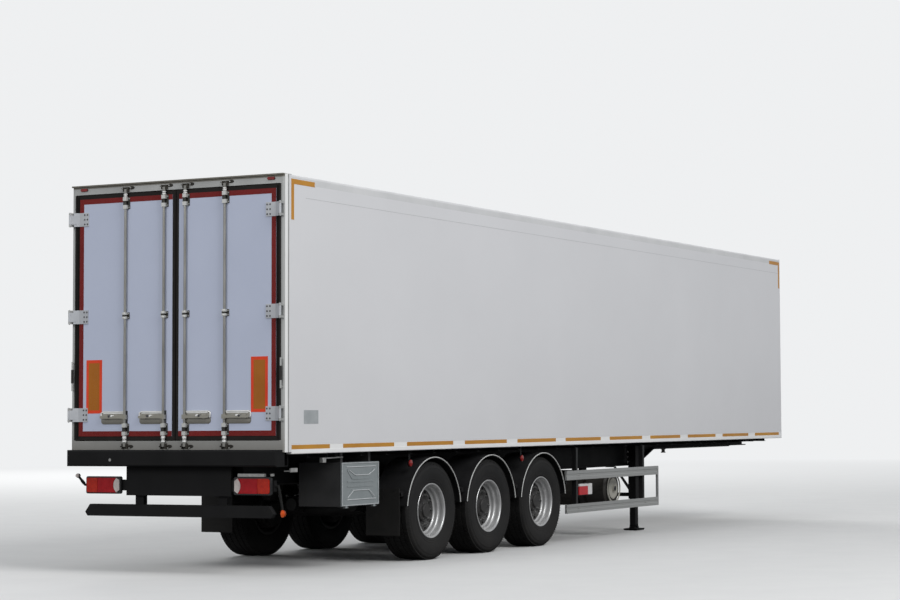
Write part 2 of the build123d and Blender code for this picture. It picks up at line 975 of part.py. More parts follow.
def shock_absorber(x, side):
    """Shock absorber from the axle's spring seat to the hanger's inner cheek."""
    y = side * (rail_y - shock_inboard)
    seat = side * (rail_y - arm_width / 2 - 5)
    cheek = side * (rail_y - hanger_width / 2)
    low = (x + shock_ahead, y, tyre_radius + 40)
    high = (x + pivot_ahead - 10, y, rail_bottom - 60)
    mid = tuple(a + (b - a) * 0.45 for a, b in zip(low, high))
    body = bar(low, mid, shock_radius - 8) + bar(mid, high, shock_radius)
    inner = y - side * 22
    body += bar((low[0], inner, low[2]), (low[0], seat, low[2]), shock_eye)
    body += bar((high[0], inner, high[2]), (high[0], cheek, high[2]), shock_eye)
    return body


def ring(x, y0, y1, outer, inner):
    """Round hoop about the axle at x, between two offsets."""
    z = tyre_radius
    return bar((x, y0, z), (x, y1, z), outer) - bar((x, y0 - 1, z), (x, y1 + 1, z), inner)


def mudguard(x, side):
    """Half-round mudguard with a rolled outer edge."""
    low, high = sorted((side * guard_inner, side * guard_outer))
    lip_low, lip_high = sorted((side * (guard_outer - guard_lip), side * guard_outer))
    shell = ring(x, low, high, guard_radius, guard_radius - guard_thick)
    shell += ring(x, lip_low, lip_high, guard_radius, guard_radius - guard_lip_thick)
    under = tyre_radius - guard_radius - 10
    reach = guard_radius + 10
    return shell - block(x - reach, x + reach, low - 2, high + 2, under, guard_cut)


def mudguard_stays():
    """Round stays from the rails, each with the clamps that hold the guards beside it."""
    stays = []
    places = [first_stay]
    places += [(a + b) / 2 for a, b in zip(axle_positions, axle_positions[1:])]
    places += [last_stay]
    h = stay_hanger_size / 2
    hanger_y = rail_outer - h
    clamps = (guard_inner + clamp_inset, guard_outer - clamp_inset + 45)
    for side in (-1, 1):
        for x in places:
            y = side * hanger_y
            stay = bar((x, y, stay_level), (x, side * (guard_outer - 20), stay_level), stay_radius)
            stay += block(x - h, x + h, y - h, y + h, stay_level - h, rail_bottom)
            back = max(x - clamp_reach, flap_position + flap_thick)
            front = min(x + clamp_reach, last_stay + stay_radius + 6)
            for clamp_y in clamps:
                inner, outer = side * (clamp_y - clamp_width / 2), side * (clamp_y + clamp_width / 2)
                low, high = stay_level - clamp_height / 2, stay_level + clamp_height / 2
                stay += block(back, front, inner, outer, low, high)
            for axle_x in axle_positions:
                near = (axle_x, side * (guard_inner + 20), tyre_radius)
                far = (axle_x, side * half, tyre_radius)
                stay -= bar(near, far, guard_radius + fit)
            stays.append(stay)
    return stays


def mud_flap(side):
    """Mud flap behind the rear wheel, held by the first mudguard stay's clamps."""
    front = flap_position + flap_thick
    inner, outer = side * guard_inner, side * guard_outer
    return block(flap_position, front, inner, outer, flap_bottom, stay_level + flap_above_stay)


def side_guard():
    """Right side guard: two grooved rails on posts hung from the cross members."""
    face = -guard_rail_face
    back = face + guard_rail_thick
    end = side_guard_front - guard_end_width
    guard = block(end, side_guard_front, face, back, lower_guard_low, upper_guard_high)
    for low, high in ((upper_guard_low, upper_guard_high), (lower_guard_low, lower_guard_high)):
        third = (high - low) / 3
        outline = [
            (back, low),
            (face, low),
            (face, low + third),
            (face + guard_groove, low + third + guard_groove),
            (face + guard_groove, high - third - guard_groove),
            (face, high - third),
            (face, high),
            (back, high),
        ]
        guard += along_x(outline, side_guard_back, side_guard_front)
    first = math.ceil((side_guard_back + 200) / cross_member_pitch) * cross_member_pitch
    for step in (0, 4):
        x = first + step * cross_member_pitch
        guard += block(x, x + cross_member_width, back, back + guard_post_width, lower_guard_low, rail_top)
    return guard


def lid_lug(x0, x1):
    """Ear under the toolbox that holds the lid's pin."""
    y, z = -lid_pin_y, lid_pin_z
    root = -toolbox_face + 60
    outline = [
        (-toolbox_face, toolbox_bottom),
        (root, toolbox_bottom),
        (root, toolbox_bottom - 6),
        (y + 4, z - lid_knuckle),
        (y + 4, z + lid_knuckle - 2),
    ]
    ear = along_x(outline, x0, x1) + bar((x0, y, z), (x1, y, z), lid_knuckle)
    return ear - bar((x0 - 1, y, z), (x1 + 1, y, z), lid_pin_radius + pin_fit)


def toolbox_body():
    """Steel toolbox, open on its outer side, hung under the cross members."""
    x0, x1, w = toolbox_back, toolbox_front, toolbox_wall
    box = block(x0, x1, -toolbox_face, -toolbox_inner, toolbox_bottom, toolbox_top)
    box -= block(x0 + w, x1 - w, -toolbox_face - 1, -toolbox_inner - w, toolbox_bottom + w, toolbox_top - w)
    near = lid_knuckle_half + lid_ear_gap
    for x in (x0 + toolbox_hanger_inset, x1 - toolbox_hanger_inset):
        box += block(x - 20, x + 20, -toolbox_face + 40, -toolbox_inner - 40, toolbox_top - 1, floor_bottom)
        box += lid_lug(x - near - lid_ear, x - near)
        box += lid_lug(x + near, x + near + lid_ear)
    return box


def toolbox_lid():
    """Pressed lid with a flange, raised ribs and its two hinge knuckles."""
    x0, x1 = toolbox_back, toolbox_front
    y, z = -lid_pin_y, lid_pin_z
    inner = -(toolbox_face + lid_clearance)
    outer = inner - lid_thick
    low, high = toolbox_bottom + 3, toolbox_top
    lid = block(x0, x1, outer, inner, low, high)
    b = lid_border
    lid -= block(x0 + b, x1 - b, outer - 1, outer + lid_press, low + b, high - b)
    mid = (x0 + x1) / 2
    wide, narrow = toolbox_length * 0.35, toolbox_length * 0.21
    rise = toolbox_height * 0.2
    for level, step in ((low + 67, rise), (high - 70, -rise)):
        rib = [
            (mid - wide, level),
            (mid - narrow, level + step),
            (mid + narrow, level + step),
            (mid + wide, level),
            (mid + wide, level + step * 0.2),
            (mid + narrow * 1.07, level + step * 1.2),
            (mid - narrow * 1.07, level + step * 1.2),
            (mid - wide, level + step * 0.2),
        ]
        lid += along_y(rib, outer, outer + lid_press)
    for level in ((low + high) / 2 - 24, (low + high) / 2 + 24):
        lid += block(mid - wide, mid + wide, outer, outer + lid_press, level - 9, level + 9)
    k, ear = lid_knuckle_half, lid_knuckle_half + lid_ear_gap + lid_ear
    for x in (x0 + toolbox_hanger_inset, x1 - toolbox_hanger_inset):
        lid += block(x - k, x + k, y - 6, y + 6, z, low + 1)
        lid += bar((x - k, y, z), (x + k, y, z), lid_knuckle)
        lid += bar((x - ear, y, z), (x + ear, y, z), lid_pin_radius)
    return lid


def underrun():
    """Underrun bar with sloped ends on two posts."""
    h = half - underrun_setback
    low, high, s = underrun_bottom, underrun_top, underrun_slope
    outline = [
        (-h + s, high),
        (-h, low + s * 2 / 3),
        (-h + s / 2, low),
        (h - s / 2, low),
        (h, low + s * 2 / 3),
        (h - s, high),
    ]
    beam = along_x(outline, underrun_back, underrun_front)
    for side in (-1, 1):
        inner, outer = side * post_inner, side * post_outer
        beam += block(underrun_front, rear_beam_front, inner, outer, low + 10, rear_beam_bottom)
    return beam


def lamp_beam():
    """Apron under the buffer and the channel that carries the tail lamps."""
    back = underrun_back + 20
    h = lamp_beam_half_height
    apron = block(
        back - apron_thick, back, -apron_half, apron_half, lamp_level - apron_drop, rear_beam_bottom
    )
    return apron + block(back, underrun_front, -lamp_beam_end, lamp_beam_end, lamp_level - h, lamp_level + h)


def tail_lamps():
    """Two tail lamp housings with rounded corners."""
    lamps = []
    front = underrun_back + 20
    for side in (-1, 1):
        low, high = lamp_level - lamp_height / 2, lamp_level + lamp_height / 2
        lamp = block(front - lamp_depth, front, side * lamp_inner, side * lamp_outer, low, high)
        lamps.append(fillet(lamp.edges().filter_by(Axis.X), lamp_corner))
    return lamps


def marker_lamps():
    """Rubber outline-lamp arms beside the tail lamps, and the header lamps."""
    pieces = []
    x = underrun_front - 20
    right_tip = (horn_setback, lamp_level - horn_right_drop)
    left_tip = (horn_left_setback, lamp_level + horn_left_rise)
    for side, (setback, tip_level) in ((-1, right_tip), (1, left_tip)):
        elbow = (x, side * (lamp_beam_end + 34), lamp_level)
        tip = (x, side * (half - setback), tip_level)
        arm = bar((x, side * lamp_beam_end, lamp_level), elbow, horn_radius + 4)
        arm += Pos(*elbow) * Sphere(horn_radius + 4)
        arm += bar(elbow, tip, horn_radius) + Pos(*tip) * Box(34, 44, 60)
        pieces.append(arm)
        pieces.append(Pos(-7, side * header_lamp_y, header_bottom + 50) * Box(14, 96, 34))
    return pieces


def grab_bars():
    """Bar on each portal post for climbing in at the rear."""
    x, y = -grab_stand_off, -(jamb + jamb_width / 2)
    low = low_hinge + grab_rise
    high = low + grab_length
    handle = bar((x, y, low), (x, y, high), grab_radius)
    for z in (low + 12, high - 12):
        handle += bar((x, y, z), (0, y, z), grab_radius - 1)
    return [handle, left_of(handle)]


def refrigeration_casing():
    """Front refrigeration unit: rounded casing with a recessed grille opening and door seams."""
    x0, x1 = box_length, front_end
    case = block(x0, x1, -unit_half, unit_half, unit_bottom, unit_top)
    case = fillet(case.edges().filter_by(Axis.Z).group_by(Axis.X)[-1], unit_corner)
    top = case.faces().sort_by(Axis.Z)[-1]
    case = chamfer(top.edges().filter_by(Axis.Y).group_by(Axis.X)[-1], unit_chamfer)
    case -= block(x1 - grille_depth, x1 + 1, -grille_half, grille_half, grille_low, grille_top)
    for y in (-grille_half / 2, grille_half / 2):
        case -= block(x1 - 6, x1 + 1, y - 4, y + 4, unit_bottom + 60, grille_low - 60)
    return case


def refrigeration_grille():
    """Slatted condenser grille in the casing's upper opening."""
    back = front_end - grille_depth
    reach, low, high = grille_half - fit, grille_low + fit, grille_top - fit
    face = back + 19
    tip = face + slat_depth
    grille = block(back, face + 1, -reach, reach, low, high)
    pitch = (high - low) / slat_count
    for k in range(slat_count):
        z = low + (k + 0.5) * pitch
        slat = [(face, z - 4), (tip, z + 16), (tip, z + 22), (face, z + 4)]
        grille += along_y(slat, -reach, reach)
    for y in (-grille_half / 2, 0, grille_half / 2):
        grille += block(face, tip + 6, y - 8, y + 8, low, high)
    return grille


def evaporator():
    """Evaporator housing hung inside on the front wall, with its fan outlet slot."""
    back = body_front - evaporator_depth
    h = evaporator_half
    outline = [
        (body_front, evaporator_bottom),
        (body_front, evaporator_top),
        (back, evaporator_top),
        (back, evaporator_bottom + 260),
        (back + 120, evaporator_bottom),
    ]
    unit = along_y(outline, -h, h)
    return unit - block(back - 1, back + 60, -h + 80, h - 80, evaporator_top - 150, evaporator_top - 50)


def fuel_tank():
    """Round fuel tank across the chassis with dished ends and a filler neck."""
    x, r, z = tank_position, tank_radius, tank_level
    profile = [
        (0, -tank_outer - 6),
        (r * 0.55, -tank_outer),
        (r * 0.9, -tank_outer + 22),
        (r, -tank_outer + 50),
        (r, -tank_inner - 50),
        (r * 0.9, -tank_inner - 22),
        (r * 0.55, -tank_inner),
        (0, -tank_inner + 6),
    ]
    tank = turned(profile, (x, 0, z), (0, 1, 0), (1, 0, 0))
    return tank + bar((x, -tank_outer + 10, z), (x, -tank_outer - 22, z), tank_port)


def tank_cradle():
    """Two ring straps, a crossbar between the rails and the pads that hang the tank."""
    x, z, r = tank_position, tank_level, tank_radius + fit
    web = rail_y - web_thick / 2
    shelf = rail_bottom + flange_thick
    cradle = block(x - 50, x + 50, -web, web, shelf, shelf + 80)
    w = strap_width / 2
    for y in (-rail_y, -inner_strap):
        strap = bar((x, y - w, z), (x, y + w, z), r + strap_thick)
        strap += block(x - 60, x + 60, y - w, y + w, z + tank_radius - 30, rail_bottom)
        if abs(y) < web:
            strap += block(x - 50, x + 50, y - w, y + w, rail_bottom - 1, shelf + 10)
        strap -= bar((x, y - w - 1, z), (x, y + w + 1, z), r)
        cradle += strap
    return cradle


def air_reservoirs():
    """Two air tanks with dished ends, each hung from the cross members by two straps."""
    tanks = []
    r = reservoir_radius
    z = rail_top - reservoir_drop - r
    front = reservoir_start + reservoir_length
    profile = [
        (0, reservoir_start),
        (r * 0.7, reservoir_start + 12),
        (r, reservoir_start + 45),
        (r, front - 45),
        (r * 0.7, front - 12),
        (0, front),
    ]
    first = math.ceil((reservoir_start + 200) / cross_member_pitch) * cross_member_pitch
    for y in (-reservoir_y, reservoir_y):
        tank = turned(profile, (0, y, z), (1, 0, 0), (0, 1, 0))
        for x in (first, first + cross_member_pitch):
            tank += block(x, x + cross_member_width, y - 30, y + 30, z + r - 10, rail_top)
        tanks.append(tank)
    return tanks


def front_connections():
    """Bracket on the front wall with two air couplings and three sockets."""
    x0, x1 = box_length, box_length + bracket_depth
    low, high = floor_top + bracket_rise, floor_top + bracket_rise + bracket_height
    mid, w = (low + high) / 2, sheet_thick + 2
    plate = block(x0, x1, -bracket_half, bracket_half, low, high)
    plate -= block(x0 + w - 1, x1 - w, -bracket_half + w, bracket_half - w, low - 1, high - w)
    for y in (-coupling_spread, coupling_spread):
        plate += bar((x1 - 1, y, mid), (x1 + 35, y, mid), 26)
        plate += block(x1 + 20, x1 + 44, y - 40, y + 40, mid - 14, mid + 14)
    for y in (-socket_spread, 0, socket_spread):
        plate += bar((x1 - 1, y, mid), (x1 + 40, y, mid), 34)
    return plate


os.makedirs("parts", exist_ok=True)
write("side_wall_right", side_wall())
write("side_wall_left", left_of(side_wall()))
write("rub_rails", rub_rail(), left_of(rub_rail()))
write("roof", roof())
write("load_floor", load_floor())
write("front_wall", front_wall())
write("rear_frame", rear_frame())
write("grab_bars", *grab_bars())
write("buffer_beam", buffer_beam())
write("main_rails", main_rail(-1), main_rail(1))
write("rear_beam", rear_beam())
write("cross_members", *cross_members())
write("coupling_plate", coupling_plate())
write("landing_gear", landing_gear())
write("axles", *[axle(x) for x in axle_positions])
pairs = [(x, side) for x in axle_positions for side in (-1, 1)]
write("suspension_hangers", *[hanger(x, side) for x, side in pairs])
write("trailing_arms", *[trailing_arm(x, side) for x, side in pairs])
write("air_springs", *[air_spring(x, side) for x, side in pairs])
write("shock_absorbers", *[shock_absorber(x, side) for x, side in pairs])
write("mudguards", *[mudguard(x, side) for x, side in pairs])
write("mudguard_stays", *mudguard_stays())
write("mud_flaps", mud_flap(-1), mud_flap(1))
write("side_guard_right", side_guard())
write("side_guard_left", left_of(side_guard()))
write("toolbox_body", toolbox_body())
write("toolbox_lid", toolbox_lid())
write("underrun", underrun())
write("lamp_beam", lamp_beam())
write("tail_lamps", *tail_lamps())
write("marker_lamps", *marker_lamps())
write("refrigeration_casing", refrigeration_casing())
write("refrigeration_grille", refrigeration_grille())
write("evaporator", evaporator())
write("fuel_tank", fuel_tank())
write("tank_cradle", tank_cradle())
write("air_reservoirs", *air_reservoirs())
write("front_connections", front_connections())

for name, turn in (("right", lambda shape: shape), ("left", left_of)):
    write(f"door_panel_{name}", turn(door_panel()))
    write(f"door_seal_{name}", turn(door_seal()))
    write(f"door_hinges_{name}", *[turn(s) for s in door_hinges()])
    write(f"lock_gear_{name}", *[turn(s) for s in lock_gear()])

for number, x in enumerate(reversed(axle_positions), start=1):
    for name, side in (("right", -1), ("left", 1)):
        write(f"tyre_{number}_{name}", placed(tyre_profile(), side, x))
        write(f"wheel_{number}_{name}", placed(wheel_profile(), side, x))
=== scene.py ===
import math
import bmesh
import bpy
from mathutils import Matrix, Vector


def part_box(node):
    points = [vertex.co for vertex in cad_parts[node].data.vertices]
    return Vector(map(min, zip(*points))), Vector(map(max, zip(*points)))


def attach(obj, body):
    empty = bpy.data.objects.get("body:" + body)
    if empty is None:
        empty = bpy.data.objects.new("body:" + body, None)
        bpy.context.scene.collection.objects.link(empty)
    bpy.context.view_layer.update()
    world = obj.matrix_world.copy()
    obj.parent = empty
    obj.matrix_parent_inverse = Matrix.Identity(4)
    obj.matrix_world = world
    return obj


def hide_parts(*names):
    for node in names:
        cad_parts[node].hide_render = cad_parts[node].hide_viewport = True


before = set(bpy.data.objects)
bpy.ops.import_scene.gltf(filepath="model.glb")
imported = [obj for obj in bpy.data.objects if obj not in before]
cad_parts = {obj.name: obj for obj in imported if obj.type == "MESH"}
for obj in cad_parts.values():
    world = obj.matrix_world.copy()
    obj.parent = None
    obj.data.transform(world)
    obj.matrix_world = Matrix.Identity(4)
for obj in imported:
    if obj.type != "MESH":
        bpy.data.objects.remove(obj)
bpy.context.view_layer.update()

# Studio. A pale floor that runs out into a pale backdrop, an overcast sky, one broad soft
# lamp high on the right and a weaker one behind. The camera stands 17.6 m behind the
# trailer and 13 m to its right, at eye level, with an 86 mm lens.


class Wire:
    """A socket of a node tree. Sums on it add Math nodes, and node() adds any other."""

    def __init__(self, tree, socket=None):
        self.tree = tree
        self.socket = socket

    def node(self, kind, settings=None, inputs=None, out=0):
        made = self.tree.nodes.new(kind)
        for name, value in (settings or {}).items():
            setattr(made, name, value)
        for key, value in (inputs or {}).items():
            if isinstance(value, Wire):
                self.tree.links.new(value.socket, made.inputs[key])
            else:
                made.inputs[key].default_value = value
        return Wire(self.tree, made.outputs[out] if len(made.outputs) else None)

    def sum(self, operation, *terms, clamp=False):
        settings = {"operation": operation, "use_clamp": clamp}
        return self.node("ShaderNodeMath", settings, dict(enumerate(terms)))

    def __add__(self, other):
        return self.sum("ADD", self, other)

    def __radd__(self, other):
        return self.sum("ADD", other, self)

    def __sub__(self, other):
        return self.sum("SUBTRACT", self, other)

    def __rsub__(self, other):
        return self.sum("SUBTRACT", other, self)

    def __mul__(self, other):
        return self.sum("MULTIPLY", self, other)

    def __rmul__(self, other):
        return self.sum("MULTIPLY", other, self)

    def __truediv__(self, other):
        return self.sum("DIVIDE", self, other)

    def __gt__(self, other):
        return self.sum("GREATER_THAN", self, other)

    def __lt__(self, other):
        return self.sum("LESS_THAN", self, other)

    def clamped(self):
        return self.sum("ADD", self, 0.0, clamp=True)

    def size(self):
        return self.sum("ABSOLUTE", self)

    def parts(self):
        """The x, y and z of this vector."""
        return [self.node("ShaderNodeSeparateXYZ", {}, {0: self}, out=k) for k in range(3)]

    def blend(self, low, high):
        """A colour that goes from low to high as this value goes from 0 to 1."""
        settings = {"data_type": "RGBA"}
        return self.node("ShaderNodeMix", settings, {0: self, 6: low, 7: high}, out=2)

    def noise(self, size, detail=4.0, rough=0.55):
        """Cloudy noise on this vector, with marks of about that size in metres."""
        values = {"Vector": self, "Scale": 1 / size, "Detail": detail, "Roughness": rough}
        return self.node("ShaderNodeTexNoise", {}, values)


floor_colour = (0.72, 0.72, 0.71, 1)
floor_bounce = (0.16, 0.16, 0.16, 1)
sky_colour = (0.86, 0.87, 0.88, 1)
floor_reach = 160.0
floor_fade_start, floor_fade_length = 16.0, 34.0

floor_mesh = bpy.data.meshes.new("studio_floor")
r = floor_reach
floor_mesh.from_pydata([(-r, -r, 0), (r, -r, 0), (r, r, 0), (-r, r, 0)], [], [(0, 1, 2, 3)])
studio_floor = bpy.data.objects.new("studio_floor", floor_mesh)
bpy.context.scene.collection.objects.link(studio_floor)
floor_paint = bpy.data.materials.new("studio_floor")
floor_paint.use_nodes = True
floor_paint.node_tree.nodes.clear()
root = Wire(floor_paint.node_tree)
place = root.node("ShaderNodeTexCoord", out=3)
away = root.node("ShaderNodeVectorMath", {"operation": "LENGTH"}, {0: place}, out=1)
fade = ((away - floor_fade_start) / floor_fade_length).clamped()
seen = root.node("ShaderNodeLightPath", out=0)
tone = seen.blend(floor_bounce, place.noise(0.6, 6.0).blend((0.66, 0.66, 0.655, 1), floor_colour))
ground = root.node("ShaderNodeBsdfDiffuse", {}, {"Color": tone})
haze = root.node("ShaderNodeEmission", {}, {"Color": sky_colour, "Strength": 1.0})
both = root.node("ShaderNodeMixShader", {}, {0: fade * seen, 1: ground, 2: haze})
root.node("ShaderNodeOutputMaterial", {}, {"Surface": both})
floor_mesh.materials.append(floor_paint)

world = bpy.data.worlds.new("overcast")
bpy.context.scene.world = world
world.use_nodes = True
world.node_tree.nodes.clear()
root = Wire(world.node_tree)
camera_ray = root.node("ShaderNodeLightPath", out=0)
glossy_ray = root.node("ShaderNodeLightPath", out=3)
shown = root.sum("MAXIMUM", camera_ray, glossy_ray * 0.12)
soft = root.node("ShaderNodeBackground", {}, {"Color": (0.93, 0.96, 1, 1), "Strength": 0.5})
plain = root.node("ShaderNodeBackground", {}, {"Color": sky_colour, "Strength": 1.0})
both = root.node("ShaderNodeMixShader", {}, {0: shown, 1: soft, 2: plain})
root.node("ShaderNodeOutputWorld", {}, {"Surface": both})


def lamp(name, place, aim, width, power, mirrored=True):
    """A square soft lamp at a place, turned to what it lights."""
    light = bpy.data.lights.new(name, "AREA")
    light.size = width
    light.energy = power
    made = bpy.data.objects.new(name, light)
    made.location = place
    made.rotation_euler = (Vector(aim) - Vector(place)).to_track_quat("-Z", "Y").to_euler()
    made.visible_glossy = mirrored
    bpy.context.scene.collection.objects.link(made)


lamp("key_lamp", (-14.0, -34.0, 26.0), (0.0, 0.0, 1.8), 22.0, 11300.0)
lamp("fill_lamp", (-40.0, 5.0, 15.0), (-6.9, 0.0, 2.4), 12.0, 3400.0)
lamp("far_lamp", (30.0, 32.0, 22.0), (2.0, 0.0, 2.0), 20.0, 9500.0, mirrored=False)

camera_place = Vector((-24.573, -13.178, 1.544))
camera_yaw, camera_pitch, camera_roll = 0.4428, 0.0568, -0.0074
focal_pixels, image_width, sensor_width = 2152.0, 900.0, 36.0
principal_x, principal_y, image_height = 610.0, 294.8, 600.0
ahead = Vector((
    math.cos(camera_yaw) * math.cos(camera_pitch),
    math.sin(camera_yaw) * math.cos(camera_pitch),
    math.sin(camera_pitch),
))
right = Vector((math.sin(camera_yaw), -math.cos(camera_yaw), 0.0))
up = right.cross(ahead)
tilted_right = math.cos(camera_roll) * right + math.sin(camera_roll) * up
tilted_up = -math.sin(camera_roll) * right + math.cos(camera_roll) * up
turn = Matrix((tilted_right, tilted_up, -ahead)).transposed().to_4x4()
camera = bpy.data.objects.new("camera", bpy.data.cameras.new("camera"))
camera.matrix_world = Matrix.Translation(camera_place) @ turn
camera.data.sensor_width = sensor_width
camera.data.lens = focal_pixels / image_width * sensor_width
camera.data.shift_x = (image_width / 2 - principal_x) / image_width
camera.data.shift_y = (principal_y - image_height / 2) / image_width
camera.data.clip_end = 500.0
bpy.context.scene.collection.objects.link(camera)
bpy.context.scene.camera = camera
bpy.context.scene.view_settings.view_transform = "Standard"

# Side walls, roof and front wall. Insulated panels with a glossy white glass-fibre skin,
# bonded to a floor and held at the lower edge by aluminium profiles. A film of road dust
# hangs on the lowest part of the skin.

road_dust = (0.070, 0.064, 0.056, 1)


def finish(name, dark, light, rough, marks=0.4, stretch=(1, 1, 1), metallic=0.0,
           bump=0.0, grain=0.01, dust=0.0, dust_top=1.3, coat=0.0, gloss=0.5, paint=None):
    """A finish in two close tones with cloudy marks, a fine grain and dust low down.
    rough is the lowest and highest roughness; bump and grain are metres."""
    made = bpy.data.materials.new(name)
    made.use_nodes = True
    made.node_tree.nodes.clear()
    root = Wire(made.node_tree)
    at = root.node("ShaderNodeTexCoord", out=3)
    drawn = root.node("ShaderNodeMapping", {}, {"Vector": at, "Scale": stretch})
    cloud = drawn.noise(marks, 5.0)
    fine = drawn.noise(grain, 3.0)
    spread = ((cloud - 0.5) * 2.2 + 0.5).clamped()
    colour = spread.blend(dark + (1,), light + (1,))
    roughness = rough[0] + (rough[1] - rough[0]) * (spread * 0.6 + fine * 0.4)
    if paint:
        colour, roughness = paint(root, at, colour, roughness)
    if dust:
        low = ((dust_top - at.parts()[2]) / dust_top).clamped()
        streaks = at.noise(0.22, 6.0, 0.65)
        mask = (low * dust * (streaks * 2.4 - 0.35)).clamped()
        colour = mask.blend(colour, road_dust)
        roughness = roughness + mask * 0.35
    values = {"Base Color": colour, "Roughness": roughness.clamped(), "Metallic": metallic,
              "Coat Weight": coat, "Coat Roughness": 0.08, "Specular IOR Level": gloss}
    if bump:
        height = {"Height": fine, "Distance": bump, "Strength": 1.0}
        values["Normal"] = root.node("ShaderNodeBump", {}, height)
    surface = root.node("ShaderNodeBsdfPrincipled", {}, values)
    root.node("ShaderNodeOutputMaterial", {}, {"Surface": surface})
    return made


def dress(material, *nodes):
    """Gives the CAD nodes that finish."""
    for name in nodes:
        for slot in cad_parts[name].material_slots:
            slot.material = material


def wall_marks(root, at, colour, roughness):
    """A faint film of dust that thins out upwards over the lower metre of a wall."""
    height = at.parts()[2]
    film = ((2.3 - height) / 1.1).clamped() * at.noise(0.35, 7.0, 0.7) * 0.14
    return film.blend(colour, (0.42, 0.41, 0.39, 1)), roughness + film * 0.4


white_skin = finish("white_glass_fibre", (0.685, 0.685, 0.70), (0.725, 0.725, 0.74), (0.26, 0.36),
                    marks=1.6, bump=0.0004, grain=0.09, paint=wall_marks)
roof_skin = finish("roof_glass_fibre", (0.60, 0.605, 0.61), (0.70, 0.70, 0.705), (0.5, 0.65),
                   marks=0.4, bump=0.0004, grain=0.05, gloss=0.3)
edge_profile = finish("painted_edge_profile", (0.80, 0.80, 0.80), (0.88, 0.88, 0.87), (0.32, 0.45),
                      marks=0.5, dust=0.08, dust_top=1.5)
dress(white_skin, "side_wall_right", "side_wall_left", "front_wall")
dress(roof_skin, "roof")
dress(edge_profile, "rub_rails")


class Blank:
    """A mesh put together from plain shapes, in metres."""

    def __init__(self):
        self.bm = bmesh.new()

    def slab(self, low, high):
        """A block between two corners, given in either order along each axis."""
        spans = [sorted(pair) for pair in zip(low, high)]
        made = bmesh.ops.create_cube(self.bm, size=1.0)["verts"]
        for vert in made:
            vert.co = [a + (b - a) * (c + 0.5) for (a, b), c in zip(spans, vert.co)]
        return self

    def turned(self, profile, centre=(0, 0, 0), steps=64, axis="Y"):
        """A closed (radius, offset) outline turned about an axis through centre."""
        turn = {"Y": Matrix.Identity(3), "X": Matrix.Rotation(-math.pi / 2, 3, "Z"),
                "Z": Matrix.Rotation(math.pi / 2, 3, "X")}[axis]
        rings = []
        for k in range(steps):
            angle = 2 * math.pi * k / steps
            ring = [
                self.bm.verts.new(
                    Vector(centre) + turn @ Vector((r * math.cos(angle), u, r * math.sin(angle)))
                )
                for r, u in profile
            ]
            rings.append(ring)
        count = len(profile)
        for k in range(steps):
            one, two = rings[k], rings[(k + 1) % steps]
            for i in range(count):
                j = (i + 1) % count
                self.bm.faces.new((one[i], one[j], two[j], two[i]))
        return self

    def prism(self, outline, low, high, axis="X"):
        """A prism along an axis, with its outline in the other two, in order."""
        def corner(a, b, c):
            return {"X": (c, a, b), "Y": (a, c, b), "Z": (a, b, c)}[axis]
        ends = [[self.bm.verts.new(corner(a, b, c)) for a, b in outline] for c in (low, high)]
        self.bm.faces.new(ends[0])
        self.bm.faces.new(ends[1][::-1])
        for i in range(len(outline)):
            j = (i + 1) % len(outline)
            self.bm.faces.new((ends[0][i], ends[1][i], ends[1][j], ends[0][j]))
        return self

    def tube(self, points, radius, closed=False, sides=12):
        """A round bar along points, with smooth corners where they are close together."""
        curve = bpy.data.curves.new("bar", "CURVE")
        curve.dimensions = "3D"
        curve.bevel_depth = radius
        curve.bevel_resolution = max(1, sides // 4)
        curve.use_fill_caps = not closed
        line = curve.splines.new("POLY")
        line.points.add(len(points) - 1)
        for point, place in zip(line.points, points):
            point.co = (*place, 1)
        line.use_cyclic_u = closed
        carrier = bpy.data.objects.new("bar", curve)
        made = bpy.data.meshes.new_from_object(carrier)
        self.bm.from_mesh(made)
        bpy.data.objects.remove(carrier)
        bpy.data.meshes.remove(made)
        bpy.data.curves.remove(curve)
        return self

    def mesh(self, name, material, bevel=0.0, steps=2, smooth=40):
        """The finished mesh, with rounded edges and its normals outwards."""
        bmesh.ops.remove_doubles(self.bm, verts=self.bm.verts, dist=1e-6)
        thin = [f for f in self.bm.faces if f.calc_area() < 1e-12]
        bmesh.ops.delete(self.bm, geom=thin, context="FACES")
        bmesh.ops.recalc_face_normals(self.bm, faces=self.bm.faces)
        if bevel:
            sharp = [e for e in self.bm.edges if e.is_manifold and e.calc_face_angle(0) > 0.6]
            bmesh.ops.bevel(self.bm, geom=sharp, offset=bevel, segments=steps,
                            affect="EDGES", clamp_overlap=True)
        made = bpy.data.meshes.new(name)
        self.bm.to_mesh(made)
        self.bm.free()
        made.polygons.foreach_set("use_smooth", [True] * len(made.polygons))
        made.set_sharp_from_angle(angle=math.radians(smooth))
        made.materials.append(material)
        return made


def fit(name, mesh, body, slot, *replaced):
    """Puts a finished mesh on its body and hides the nodes that it stands for. The slot is not used."""
    made = bpy.data.objects.new(name, mesh)
    bpy.context.scene.collection.objects.link(made)
    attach(made, body)
    if replaced:
        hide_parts(*replaced)
    return made


wall_low, wall_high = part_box("side_wall_right")
roof_low, roof_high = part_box("roof")
portal_low, portal_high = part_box("rear_frame")
half_width = -wall_low.y
rear = portal_high.x - 0.13
cover_start = rear + 0.084
skin = 0.001
seam_level, seam_start = 3.742, rear + 0.38
edge_start, edge_end, edge_top = rear + 0.0145, rear + 0.0655, portal_high.z - 0.004

